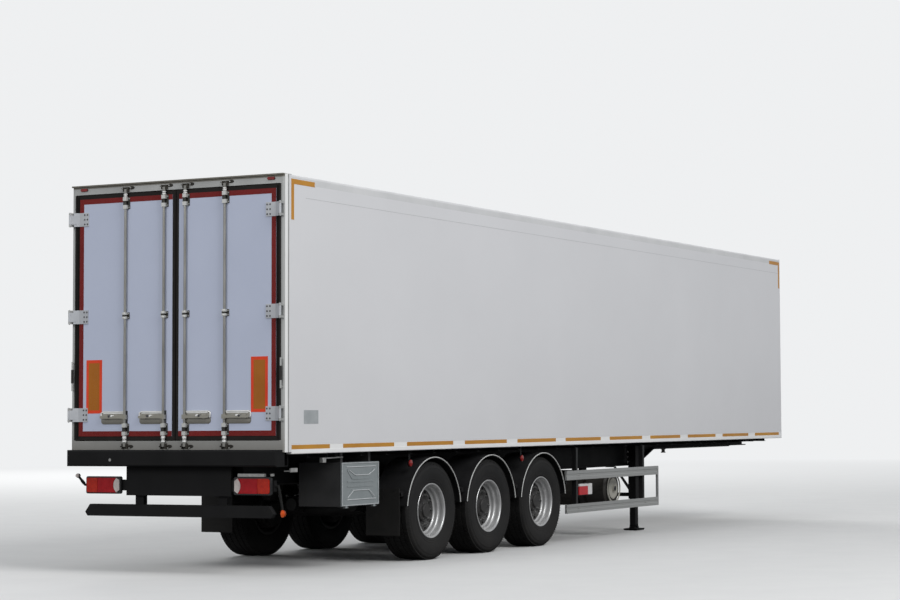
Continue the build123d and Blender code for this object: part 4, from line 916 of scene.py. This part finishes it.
nut = Blank()
nut.prism([(0.1675 + 0.0165 * math.cos(math.pi / 3 * k), 0.0165 * math.sin(math.pi / 3 * k))
           for k in range(6)], disc_face, disc_face + 0.022, "Y")
nut.turned([(0.0, disc_face + 0.001), (0.022, disc_face + 0.001), (0.021, disc_face + 0.006),
            (0.0, disc_face + 0.007)], (0.1675, 0, 0), 20)
nut.turned([(0.0, disc_face + 0.02), (0.0095, disc_face + 0.02), (0.0095, disc_face + 0.037),
            (0.0085, disc_face + 0.039), (0.0, disc_face + 0.039)], (0.1675, 0, 0), 12)
nut_mesh = nut.mesh("nut", wheel_nut, bevel=0.0008, steps=1)
cap_bolt = Blank().prism([(0.094 + 0.008 * math.cos(math.pi / 3 * k),
                           0.008 * math.sin(math.pi / 3 * k)) for k in range(6)],
                         hub_face - 0.002, hub_face + 0.007, "Y")
cap_mesh = cap_bolt.mesh("cap_bolt", wheel_nut, bevel=0.0005, steps=1)
nuts = grow("wheel_nuts", nut_mesh, round_tree, {"Count": 10, "Centre": (0, 0, 0), "Finish": wheel_nut})
caps = grow("hub_bolts", cap_mesh, round_tree, {"Count": 6, "Centre": (0, 0, 0), "Finish": wheel_nut})
valve_path = [(0.249, 0.070, 0.0), (0.243, 0.084, 0.0), (0.240, 0.100, 0.0), (0.238, 0.125, 0.0)]
valve = Blank().tube([Vector(point) for point in valve_path], 0.0042, sides=8)
valve_mesh = valve.mesh("valve", wheel_nut)


def on_wheel(mesh, name):
    """A copy of a wheel's part, which is made with its outboard side to +Y."""
    low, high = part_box("tyre_" + name)
    side = 1 if low.y > 0 else -1
    placed = mesh.copy()
    if side < 0:
        placed.transform(Matrix.Rotation(math.pi, 4, "Z"))
    placed.transform(Matrix.Translation((low + high) / 2))
    return placed


wheel_names = [f"{k}_{side}" for k in (1, 2, 3) for side in ("right", "left")]
for name in wheel_names:
    body = "wheel_" + name
    fit("rim_" + name, on_wheel(rim, name), body, "wheel_silver", "wheel_" + name)
    fit("hub_" + name, on_wheel(hub, name), body, "black_steel")
    fit("nuts_" + name, on_wheel(nuts, name), body, "galvanised")
    fit("hub_bolts_" + name, on_wheel(caps, name), body, "galvanised")
    fit("valve_" + name, on_wheel(valve_mesh, name), body, "galvanised")

# Tyres. Wide single tyres: a carcass with ribbed side walls and five rows of tread
# blocks between straight grooves.

tyre_rubber = finish("tyre_rubber", (0.0085, 0.0085, 0.009), (0.0165, 0.016, 0.0155), (0.62, 0.82),
                     marks=0.12, bump=0.0006, grain=0.004, dust=0.12, dust_top=0.8, gloss=0.25)
half_outline = [
    (0.2840, 0.1560), (0.2920, 0.1640), (0.3020, 0.1690), (0.3120, 0.1720), (0.3170, 0.1735),
    (0.3200, 0.1760), (0.3260, 0.1770), (0.3300, 0.1755), (0.3420, 0.1795), (0.3450, 0.1820),
    (0.3490, 0.1820), (0.3510, 0.1805), (0.3800, 0.1865), (0.4100, 0.1895), (0.4400, 0.1895),
    (0.4650, 0.1875), (0.4670, 0.1890), (0.4710, 0.1885), (0.4730, 0.1865), (0.4900, 0.1840),
    (0.5050, 0.1790), (0.5150, 0.1720), (0.5200, 0.1640), (0.5220, 0.1600),
]
row_edges = ((-0.160, -0.106), (-0.097, -0.042), (-0.033, 0.033), (0.042, 0.097), (0.106, 0.160))
crown_drop = {0: 0.0022, 1: 0.0008, 2: 0.0, 3: 0.0008, 4: 0.0022}
tread_top = 0.5352
block_count, block_gap = 64, 0.006
outline = half_outline + [(0.5235, 0.08), (0.5235, -0.08)] + [(r, -u) for r, u in reversed(half_outline)]
carcass = Blank().turned(outline, steps=wheel_steps).mesh("carcass", tyre_rubber)
block_angle = 2 * math.pi / block_count
tread = Blank()
for k, (low, high) in enumerate(row_edges):
    top = tread_top - crown_drop[k]
    slant = 0.010 if k % 2 else -0.010
    length = top * block_angle - (block_gap if k in (0, 4) else block_gap * 0.55)
    corners = []
    for radius in (0.519, top):
        for u, s in ((low, -1), (high, 1)):
            for end in (-1, 1):
                t = end * length / 2 * (radius / top) + s * slant
                corners.append(tread.bm.verts.new((radius, u, t)))
    a = corners
    for face in ((0, 1, 3, 2), (4, 6, 7, 5), (0, 2, 6, 4), (1, 5, 7, 3), (0, 4, 5, 1), (2, 3, 7, 6)):
        tread.bm.faces.new([a[i] for i in face])
lug = tread.mesh("tread_blocks", tyre_rubber, bevel=0.0012, steps=1)
treads = grow("tread", lug, round_tree, {"Count": block_count, "Centre": (0, 0, 0), "Finish": tyre_rubber})
rib = Blank()
for side in (-1, 1):
    rib.slab((0.476, side * 0.1845, -0.003), (0.512, side * 0.176, 0.003))
shoulder = rib.mesh("shoulder_rib", tyre_rubber, bevel=0.001, steps=1)
shoulders = grow("shoulder_ribs", shoulder, round_tree,
                 {"Count": 96, "Centre": (0, 0, 0), "Finish": tyre_rubber})
for name in wheel_names:
    body = "wheel_" + name
    fit("tyre_side_" + name, on_wheel(carcass, name), body, "tyre_rubber", "tyre_" + name)
    fit("tyre_tread_" + name, on_wheel(treads, name), body, "tyre_rubber")
    fit("tyre_ribs_" + name, on_wheel(shoulders, name), body, "tyre_rubber")

# Mudguards and flaps. Half-round guards of black plastic with a bright trim along their
# outer edge, on steel stays, and a rubber flap behind the last wheel with its screws.

guard_plastic = finish("guard_plastic", (0.010, 0.010, 0.011), (0.018, 0.018, 0.019), (0.5, 0.65),
                       marks=0.2, bump=0.0006, grain=0.006, dust=0.12, dust_top=1.3, gloss=0.2)
flap_rubber = finish("flap_rubber", (0.011, 0.011, 0.011), (0.018, 0.0175, 0.017), (0.6, 0.8),
                     marks=0.15, bump=0.0005, grain=0.005, dust=0.2, dust_top=1.0, gloss=0.2)
trim_metal = finish("bright_trim", (0.50, 0.50, 0.49), (0.62, 0.62, 0.60), (0.3, 0.42), marks=0.1,
                    metallic=0.2)
dress(guard_plastic, "mudguards")
dress(flap_rubber, "mud_flaps")
guard_low, guard_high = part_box("mudguards")
trim_radius, trim_start = 0.5835, 0.610
trims = Blank()
first_angle = math.asin((trim_start - 0.536) / trim_radius)
for k in (1, 2, 3):
    low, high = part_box(f"tyre_{k}_right")
    centre = (low.x + high.x) / 2
    for side in (-1, 1):
        y = side * (guard_high.y + 0.001)
        arc = []
        for j in range(49):
            angle = first_angle + (math.pi - 2 * first_angle) * j / 48
            arc.append((centre + trim_radius * math.cos(angle), y, 0.536 + trim_radius * math.sin(angle)))
        trims.tube(arc, 0.0065, sides=8)
fit("guard_trims", trims.mesh("guard_trims", trim_metal), "chassis", "pale_aluminium")
flap_low, flap_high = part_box("mud_flaps")
flap_screws = [
    (flap_low.x, side * y, flap_high.z - drop)
    for side in (-1, 1) for y in (0.94, 1.08, 1.22) for drop in (0.02, 0.10)
]
fit("flap_screws", bolts("flap_screws", flap_screws, to_rear, 0.007, 0.005, guard_plastic, sides=12),
    "chassis", "galvanised")

# Side guards. Two hollow aluminium rails with a grooved face each side, on posts under
# the floor, closed at the ends and bolted through the groove.



def post_tones(root, at, colour, roughness):
    """The posts behind the rails are black, and the upright at the front end is bare."""
    x, y, z = at.parts()
    post = (y.size() < rail_back) * (x < rail_end - 0.06)
    return post.blend(colour, (0.012, 0.012, 0.0125, 1)), roughness


rail_low, rail_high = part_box("side_guard_right")
rail_back, rail_end = -rail_low.y - 0.0275, rail_high.x
guard_aluminium = finish("guard_aluminium", (0.28, 0.287, 0.28), (0.375, 0.38, 0.372), (0.34, 0.5),
                         marks=0.5, stretch=(0.15, 1, 1), metallic=0.25, bump=0.0002, grain=0.004,
                         dust=0.15, dust_top=1.0, paint=post_tones)
dress(guard_aluminium, "side_guard_right", "side_guard_left")
post_places = (6.525, 8.525)
for side, name, turn in ((-1, "right", to_right), (1, "left", to_left)):
    low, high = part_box("side_guard_" + name)
    y = side * (max(abs(low.y), abs(high.y)) - 0.005)
    places = [(rear + x + dx, y, z) for x in post_places for dx in (-0.012, 0.012)
              for z in (0.8275, 0.415)]
    fit("guard_bolts_" + name, bolts("guard_bolts_" + name, places, turn, 0.008, 0.0045, zinc),
        "chassis", "galvanised")

# Toolbox. A dark steel box with a lid of galvanised sheet, stiffened by pressed ribs, and
# a bright lifting bar above it.


def spangle(root, at, colour, roughness):
    """Crystal flowers of a hot-dip zinc coat."""
    values = {"Vector": at, "Scale": 70.0}
    cell = root.node("ShaderNodeTexVoronoi", {}, values, out=1)
    shade = root.node("ShaderNodeSeparateColor", {}, {0: cell})
    return (shade * 0.14).blend(colour, (0.42, 0.45, 0.46, 1)), roughness + shade * 0.12 - 0.06


lid_zinc = finish("galvanised_lid", (0.235, 0.262, 0.268), (0.28, 0.306, 0.312), (0.34, 0.48),
                  marks=0.2, metallic=0.2, bump=0.0002, grain=0.006, paint=spangle)
# The ribs and the edge line of the lid are painted lighter than the sheet: a painted highlight on the pressed ribs
# and the lid's edge.
lid_rib_highlight = finish("lid_rib_highlight", (0.48, 0.50, 0.505), (0.60, 0.62, 0.625), (0.3, 0.42), marks=0.1,
                  metallic=0.1)
box_paint = finish("toolbox_paint", (0.040, 0.040, 0.041), (0.060, 0.060, 0.061), (0.4, 0.55),
                   marks=0.25, bump=0.0004, grain=0.008, dust=0.15, dust_top=1.2, gloss=0.3)
dress(lid_zinc, "toolbox_lid")
dress(box_paint, "toolbox_body")
lid_low, lid_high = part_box("toolbox_lid")
rib_y, rib_radius = lid_low.y + 0.003, 0.0052
left_edge, foot = lid_low.x, lid_high.z - 0.45
rib_lines = (
    ((0.098, 0.402), (0.656, 0.402)),
    ((0.148, 0.368), (0.262, 0.316), (0.525, 0.316), (0.640, 0.368)),
    ((0.110, 0.085), (0.228, 0.160), (0.525, 0.160), (0.640, 0.085)),
    ((0.098, 0.066), (0.656, 0.066)),
)
lid_ribs = Blank()
for line in rib_lines:
    lid_ribs.tube([(left_edge + a, rib_y, foot + b) for a, b in line], rib_radius, sides=8)
inset = 0.010
frame_line = [(lid_low.x + inset, rib_y, foot + inset), (lid_high.x - inset, rib_y, foot + inset),
              (lid_high.x - inset, rib_y, lid_high.z - inset), (lid_low.x + inset, rib_y, lid_high.z - inset)]
lid_ribs.tube(frame_line, 0.0055, closed=True, sides=8)
fit("lid_ribs", lid_ribs.mesh("lid_ribs", lid_rib_highlight), "lid", "galvanised")
lift_bar = Blank()
bar_y, bar_level = -1.215, 1.150
lift_bar.tube([(rear + 0.84, bar_y, bar_level), (rear + 1.19, bar_y, bar_level + 0.006)], 0.008)
lift_bar.slab((rear + 0.79, bar_y - 0.02, bar_level - 0.042), (rear + 0.85, bar_y + 0.02, bar_level + 0.008))
fit("lift_bar", lift_bar.mesh("lift_bar", zinc, bevel=0.001, steps=1), "chassis", "galvanised")
hangers = Blank()
for x in (rear + 0.91, rear + 1.14):
    hangers.slab((x - 0.01, bar_y + 0.004, bar_level - 0.004), (x + 0.01, bar_y + 0.012, 1.207))
fit("bar_hangers", hangers.mesh("bar_hangers", black_paint), "chassis", "black_steel")

# Tail lamps. Each is a black housing with a moulded lens: a pale crescent for the
# reversing lamp inboard, dark red in the middle and orange-red outboard.

lamp_low, lamp_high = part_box("tail_lamps")
lamp_inner, lamp_outer = 0.690, 1.130
lamp_bottom, lamp_top = lamp_low.z, lamp_high.z
lamp_back, lamp_face = lamp_high.x, lamp_low.x
lamp_middle = (lamp_bottom + lamp_top) / 2


def lens_optics(root, at, colour, roughness):
    """Small pillow lenses moulded on the inside of the cover, seen as a fine chequer."""
    values = {"Vector": at, "Scale": 130.0}
    edge = root.node("ShaderNodeTexVoronoi", {"feature": "DISTANCE_TO_EDGE"}, values)
    shade = (1 - edge * 2.5).clamped() * 0.35
    return shade.blend(colour, (0.06, 0.004, 0.003, 1)), roughness


lens_red = finish("red_lens", (0.20, 0.004, 0.004), (0.32, 0.008, 0.007), (0.06, 0.14), marks=0.06,
                  coat=0.4, paint=lens_optics)
lens_bright = finish("bright_red_lens", (0.40, 0.006, 0.012), (0.54, 0.010, 0.018), (0.06, 0.14),
                     marks=0.06, coat=0.4, paint=lens_optics)
lens_orange = finish("orange_red_lens", (0.48, 0.020, 0.010), (0.66, 0.036, 0.014), (0.06, 0.14),
                     marks=0.05, coat=0.4, paint=lens_optics)
lens_clear = finish("clear_lens", (0.50, 0.44, 0.42), (0.66, 0.60, 0.57), (0.06, 0.16), marks=0.04,
                    coat=0.4)
lamp_plastic = finish("lamp_plastic", (0.012, 0.012, 0.013), (0.026, 0.026, 0.027), (0.35, 0.55),
                      marks=0.1, bump=0.0003, grain=0.004)
lamp_half = (lamp_outer - lamp_inner) / 2
lamp_centre = (lamp_inner + lamp_outer) / 2
lens_depth = 0.012
housings = Blank()
reds, oranges, clears = Blank(), Blank(), Blank()
lens_half_height = (lamp_top - lamp_bottom) / 2 - 0.014
for side in (-1, 1):
    outline = [(side * lamp_centre + a, lamp_middle + b)
               for a, b in rounded(2 * lamp_half, lamp_top - lamp_bottom, 0.02)]
    housings.prism(outline, lamp_face + lens_depth, lamp_back, "X")

    def across(a, b):
        """A point of the lens, with a from its inboard end."""
        return (side * (lamp_inner + 0.014 + a), lamp_middle + b)

    h, total = lens_half_height, 2 * lamp_half - 0.028
    bow = [(0.050 - 0.030 * abs(t) ** 2.2 * 1.2, t * h) for t in
           [k / 8 - 1 for k in range(17)]]
    moon = [across(a + 0.022, b) for a, b in bow] + [across(0.0, b * 0.86) for a, b in reversed(bow[2:-2])]
    clears.prism(moon, lamp_face + 0.001, lamp_face + lens_depth + 0.001, "X")
    middle_part = [across(a + 0.025, b) for a, b in bow]
    middle_part += [across(total * 0.66, h), across(total * 0.66, -h)]
    reds.prism(middle_part, lamp_face + 0.0005, lamp_face + lens_depth + 0.001, "X")
    outer_part = [across(total * 0.665, h), across(total - 0.012, h), across(total, h - 0.014),
                  across(total, -h + 0.014), across(total - 0.012, -h), across(total * 0.665, -h)]
    oranges.prism(outer_part, lamp_face + 0.0005, lamp_face + lens_depth + 0.001, "X")
fit("lamp_housings", housings.mesh("lamp_housings", lamp_plastic, bevel=0.003), "chassis",
    "black_plastic", "tail_lamps")
fit("red_lenses", reds.mesh("red_lenses", lens_bright, bevel=0.002), "chassis", "lamp_red")
fit("orange_lenses", oranges.mesh("orange_lenses", lens_orange, bevel=0.002), "chassis", "lamp_red")
fit("clear_lenses", clears.mesh("clear_lenses", lens_clear, bevel=0.002), "chassis", "lamp_red")
strip = Blank()
strip.slab((rear + 0.030, -0.735, lamp_top + 0.004), (rear + 0.062, -1.050, lamp_top + 0.034))
strip.slab((rear + 0.034, -1.120, lamp_top + 0.010), (rear + 0.060, -1.150, lamp_top + 0.034))
strip.slab((rear + 0.20, -1.230, lamp_top + 0.045), (rear + 0.32, -1.246, lamp_top + 0.085))
strip.slab((rear + 0.22, -1.150, lamp_top + 0.050), (rear + 0.30, -1.232, lamp_top + 0.060))
fit("lamp_strip", strip.mesh("lamp_strip", zinc, bevel=0.002), "chassis", "galvanised")

# Outline lamps. Rubber arms beside the tail lamps, the right one hanging and the left one
# raised, each with a lamp at its tip, and two red lamps on the header.

arm_rubber = finish("arm_rubber", (0.008, 0.008, 0.008), (0.014, 0.014, 0.013), (0.6, 0.8),
                    marks=0.05, bump=0.0004, grain=0.004, gloss=0.15)
lens_amber = finish("amber_lens", (0.62, 0.075, 0.010), (0.80, 0.13, 0.018), (0.1, 0.2), marks=0.05,
                    coat=0.3)
beam_end, arm_x = 1.150, rear + 0.080
arms, header_lenses, header_bases = Blank(), Blank(), Blank()
tips = {-1: Blank(), 1: Blank()}
for side, tip_y, tip_level in ((-1, 1.238, 0.625), (1, 1.276, 0.985)):
    elbow = Vector((arm_x, side * (beam_end + 0.034), lamp_middle))
    tip = Vector((arm_x, side * tip_y, tip_level))
    start = Vector((arm_x, side * beam_end, lamp_middle))
    arms.tube([start, start.lerp(elbow, 0.6), elbow, elbow.lerp(tip, 0.12), tip], 0.013, sides=16)
    for k in range(5):
        spot = elbow.lerp(tip, 0.15 + 0.07 * k)
        ring = spot.lerp(tip, 0.04)
        arms.tube([spot, ring], 0.0165, sides=16)
    height = 1.50 if side < 0 else 0.85
    for reach, depth in ((0.024, 0.013), (0.019, 0.018), (0.012, 0.021)):
        oval = [(tip.y + reach * math.cos(math.pi * k / 14), tip.z + reach * height * math.sin(math.pi * k / 14))
                for k in range(28)]
        tips[side].prism(oval, arm_x - depth, arm_x + depth, "X")
    oval = [(tip.y + 0.024 * math.cos(math.pi * k / 14), tip.z + 0.024 * 1.1 * height * math.sin(math.pi * k / 14))
            for k in range(28)]
    arms.prism(oval, arm_x - 0.006, arm_x + 0.006, "X")
    lozenge = [(side * 1.150 + a, 3.9145 + b) for a, b in
               ((-0.046, 0.0), (-0.034, -0.014), (0.034, -0.014), (0.046, 0.0), (0.034, 0.014), (-0.034, 0.014))]
    header_lenses.prism(lozenge, rear - 0.0135, rear - 0.004, "X")
    base = [(side * 1.150 + a * 1.06, 3.9145 + b * 1.15) for a, b in
            ((-0.046, 0.0), (-0.034, -0.014), (0.034, -0.014), (0.046, 0.0), (0.034, 0.014), (-0.034, 0.014))]
    header_bases.prism(base, rear - 0.0045, rear, "X")
fit("lamp_arms", arms.mesh("lamp_arms", arm_rubber), "chassis", "black_plastic", "marker_lamps")
fit("arm_lens_right", tips[-1].mesh("arm_lens_right", lens_amber, bevel=0.001), "chassis", "lamp_red")
fit("arm_lens_left", tips[1].mesh("arm_lens_left", lens_clear, bevel=0.001), "chassis", "lamp_red")
fit("header_lenses", header_lenses.mesh("header_lenses", lens_red, bevel=0.0015), "chassis", "lamp_red")
fit("header_lamp_bases", header_bases.mesh("header_lamp_bases", lamp_plastic), "chassis", "black_plastic")

# Side lamps. Small red lamps on brackets under the skirt, beside the mudguards, and a
# red and white marker block on the guard's first post.

side_lamp_places = (2.50, 5.08)
side_level, side_y = 1.065, 1.245
brackets, side_lenses = Blank(), Blank()
for side in (-1, 1):
    for x in side_lamp_places:
        x += rear
        brackets.slab((x - 0.018, side * (side_y - 0.020), side_level - 0.03),
                      (x + 0.018, side * (side_y - 0.016), 1.206))
        brackets.turned([(0.0, side * (side_y - 0.016)), (0.041, side * (side_y - 0.016)),
                         (0.041, side * (side_y - 0.004)), (0.0, side * (side_y - 0.004))],
                        (x, 0, side_level), 28)
        side_lenses.turned([(0.0, side * (side_y - 0.005)), (0.038, side * (side_y - 0.005)),
                            (0.035, side * (side_y + 0.006)), (0.020, side * (side_y + 0.012)),
                            (0.0, side * (side_y + 0.0135))], (x, 0, side_level), 28)
fit("side_lamp_brackets", brackets.mesh("side_lamp_brackets", black_paint), "chassis", "black_plastic")
fit("side_lamp_lenses", side_lenses.mesh("side_lamp_lenses", lens_red), "chassis", "lamp_red")

block_start, block_split, block_end = rear + 6.60, rear + 6.85, rear + 6.97
block_low, block_high, block_face = 0.575, 0.712, 1.252
marker_white = finish("marker_white", (0.62, 0.61, 0.60), (0.70, 0.69, 0.68), (0.3, 0.4), marks=0.1,
                      dust=0.15, dust_top=1.0)
marker_red = finish("marker_red", (0.42, 0.015, 0.022), (0.52, 0.022, 0.030), (0.25, 0.38), marks=0.1,
                    dust=0.15, dust_top=1.0)
backs, whites, reds = Blank(), Blank(), Blank()
for side in (-1, 1):
    backs.slab((rear + 6.505, side * 1.222, block_low - 0.008), (block_end + 0.008, side * 1.234, block_high + 0.008))
    whites.slab((block_split, side * 1.234, block_low), (block_end, side * block_face, block_high))
    whites.slab((block_start, side * 1.234, block_high - 0.030), (block_split, side * block_face, block_high))
    reds.slab((block_start, side * 1.234, block_low), (block_split, side * block_face, block_high - 0.030))
fit("marker_backs", backs.mesh("marker_backs", lamp_plastic, bevel=0.002), "chassis", "black_plastic")
fit("marker_white", whites.mesh("marker_white", marker_white, bevel=0.003), "chassis", "lamp_red")
fit("marker_red", reds.mesh("marker_red", marker_red, bevel=0.003), "chassis", "lamp_red")

# Front refrigeration unit. A white moulded casing on the front wall with a slatted
# grille over the condenser.



def casing_tones(root, at, colour, roughness):
    """A joint runs round under the grille, and four round locks are let into the doors."""
    x, y, z = at.parts()
    joint = ((z - joint_level).size() < 0.003) * (x > wall_high.x + 0.1)
    across, up = y.size() - 0.43, (z - 2.44).size() - 0.40
    lock = (across * across + up * up < 0.0004) * (x > unit_high.x - 0.02)
    keyway = (across.size() < 0.003) * (up.size() < 0.012) * lock
    toned = lock.blend(joint.blend(colour, (0.10, 0.10, 0.10, 1)), (0.16, 0.16, 0.16, 1))
    return keyway.blend(toned, (0.01, 0.01, 0.01, 1)), roughness


unit_low, unit_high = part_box("refrigeration_casing")
joint_level = 2.985
casing_white = finish("casing_white", (0.66, 0.665, 0.67), (0.73, 0.73, 0.735), (0.28, 0.4),
                      marks=0.8, bump=0.0003, grain=0.03, paint=casing_tones)
grille_plastic = finish("grille_plastic", (0.016, 0.016, 0.017), (0.032, 0.032, 0.033), (0.42, 0.6),
                        marks=0.2, bump=0.0004, grain=0.006, gloss=0.3)
dress(casing_white, "refrigeration_casing", "evaporator")
dress(grille_plastic, "refrigeration_grille")
for side, name in ((-1, "right"), (1, "left")):
    middle = unit_low.x + 0.185
    louvres = bars("unit_louvres_" + name, 11, (middle, side * unit_high.y, 2.16), (0, 0, 0.055),
                   (0.21, 0.014, 0.022), grille_plastic)
    fit("unit_louvres_" + name, louvres, "chassis", "grille_plastic")
fan_low, fan_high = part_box("evaporator")
fan_level, fan_x = fan_low.z + 0.42, fan_low.x - 0.012
fan_places = (-0.42, 0.0, 0.42)
guards, throats = Blank(), Blank()
for y in fan_places:
    for radius in (0.045, 0.075, 0.105, 0.135):
        guards.tube([(fan_x, y + radius * math.cos(math.pi * k / 24), fan_level + radius * math.sin(math.pi * k / 24))
                     for k in range(48)], 0.0022, closed=True, sides=6)
    for k in range(3):
        a, b = 0.135 * math.cos(math.pi * k / 3), 0.135 * math.sin(math.pi * k / 3)
        guards.tube([(fan_x, y - a, fan_level - b), (fan_x, y + a, fan_level + b)], 0.0028, sides=6)
    throats.turned([(0.0, fan_low.x - 0.002), (0.13, fan_low.x - 0.002), (0.13, fan_low.x + 0.002),
                    (0.0, fan_low.x + 0.002)], (0, y, fan_level), 40, "X")
fit("fan_guards", guards.mesh("fan_guards", chrome_and_highlight), "chassis", "stainless")
fit("fan_throats", throats.mesh("fan_throats", grille_plastic), "chassis", "grille_plastic")

# Fuel tank and air tanks. The round fuel tank of the refrigeration unit lies across the
# chassis, its pale end with the filler port to the right, in two straps.



def tank_tones(root, at, colour, roughness):
    """The pale end faces right, and the shell between the straps is painted dark as shade and made rougher."""
    x, y, z = at.parts()
    # The dark shell is painted shade on the tank's side.
    shell = (y > tank_low.y + 0.026) * 1.0
    return shell.blend(colour, (0.045, 0.041, 0.036, 1)), roughness + shell * 0.15


tank_low, tank_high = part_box("fuel_tank")
tank_paint = finish("pale_tank", (0.40, 0.385, 0.335), (0.50, 0.485, 0.43), (0.34, 0.5), marks=0.12,
                    metallic=0.1, bump=0.0003, grain=0.01, dust=0.15, dust_top=1.1, paint=tank_tones)
reservoir_paint = finish("air_tank_paint", (0.012, 0.012, 0.013), (0.024, 0.024, 0.024), (0.3, 0.45),
                         marks=0.2, dust=0.2, dust_top=1.4, gloss=0.3)
dress(tank_paint, "fuel_tank")
tank_x, tank_z = (tank_low.x + tank_high.x) / 2, (tank_low.z + tank_high.z) / 2
tank_end = tank_low.y + 0.022
tank_ring = Blank()
tank_ring.turned([(0.172, tank_end - 0.001), (0.176, tank_end - 0.010), (0.184, tank_end - 0.012),
                  (0.194, tank_end - 0.010), (0.198, tank_end - 0.001)], (tank_x, 0, tank_z), 64)
tank_ring.turned([(0.046, tank_end - 0.001), (0.048, tank_end - 0.008), (0.056, tank_end - 0.010),
                  (0.060, tank_end - 0.001)], (tank_x, 0, tank_z), 40)
fit("tank_rings", tank_ring.mesh("tank_rings", tank_paint), "chassis", "tank_aluminium")
port = Blank()
port.turned([(0.0, tank_low.y - 0.003), (0.030, tank_low.y - 0.003), (0.034, tank_low.y),
             (0.034, tank_low.y + 0.004), (0.0, tank_low.y + 0.004)], (tank_x, 0, tank_z), 24)
port.slab((tank_x - 0.005, tank_low.y - 0.012, tank_z - 0.026), (tank_x + 0.005, tank_low.y, tank_z + 0.026))
fit("tank_cap", port.mesh("tank_cap", dark_fixing_and_shade, bevel=0.001), "chassis", "black_plastic")
dress(reservoir_paint, "air_reservoirs")
straps = Blank()
for y in (-0.80, -0.38):
    straps.turned([(0.2195, y), (0.2245, y), (0.2245, y + 0.04), (0.2195, y + 0.04)],
                  (tank_x, 0, tank_z), 64)
air_low, air_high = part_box("air_reservoirs")
air_level = air_low.z + 0.123
for y in (-0.33, 0.33):
    for x in (rear + 1.0, rear + 1.5):
        straps.turned([(0.1225, x - 0.018), (0.1265, x - 0.018), (0.1265, x + 0.018), (0.1225, x + 0.018)],
                      (0, y, air_level), 48, "X")
fit("tank_straps", straps.mesh("tank_straps", black_steel_and_shade), "chassis", "black_steel")
drains = [(rear + 1.275, y, air_low.z) for y in (-0.33, 0.33)]
fit("drain_valves", bolts("drain_valves", drains, downwards, 0.012, 0.016, zinc), "chassis", "galvanised")

# Front bracket. Air couplings and sockets for the leads to the tractor, on a plate bent
# from steel sheet.

bracket_paint = finish("bracket_paint", (0.014, 0.014, 0.015), (0.03, 0.03, 0.031), (0.35, 0.55),
                       marks=0.1, bump=0.0003, grain=0.005)
dress(bracket_paint, "front_connections")
front, couple_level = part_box("front_connections")[1].x, 1.510
for y, name, tint in ((-0.24, "red", (0.40, 0.012, 0.010)), (0.24, "yellow", (0.55, 0.33, 0.010))):
    paint = finish(name + "_coupling", tint, tuple(value * 1.15 for value in tint), (0.3, 0.42), marks=0.05)
    cap = Blank().turned([(0.0255, front - 0.034), (0.034, front - 0.034), (0.036, front - 0.030),
                          (0.036, front - 0.018), (0.0255, front - 0.014)],
                         (0, y, couple_level), 32, "X")
    cap.slab((front - 0.026, y - 0.03, couple_level + 0.015), (front + 0.004, y + 0.03, couple_level + 0.024))
    fit(name + "_coupling", cap.mesh(name + "_coupling", paint, bevel=0.001, steps=1), "chassis",
        "black_plastic")
lids = Blank()
for y in (-0.11, 0.0, 0.11):
    lids.turned([(0.0, front - 0.004), (0.038, front - 0.004), (0.038, front + 0.004), (0.034, front + 0.008),
                 (0.0, front + 0.008)], (0, y, couple_level), 36, "X")
    lids.slab((front - 0.02, y - 0.016, couple_level + 0.034), (front + 0.008, y + 0.016, couple_level + 0.046))
    lids.slab((front, y - 0.010, couple_level - 0.050), (front + 0.006, y + 0.010, couple_level - 0.034))
fit("socket_lids", lids.mesh("socket_lids", lamp_plastic, bevel=0.001), "chassis", "black_plastic")
front_lamps = Blank()
for side in (-1, 1):
    x = wall_high.x
    front_lamps.slab((x - 0.002, side * 1.16, 3.80), (x + 0.022, side * 1.24, 3.83))
    front_lamps.slab((x - 0.002, side * 1.16, 1.33), (x + 0.022, side * 1.24, 1.36))
fit("front_lamps", front_lamps.mesh("front_lamps", lens_clear, bevel=0.003), "chassis", "white_casing")
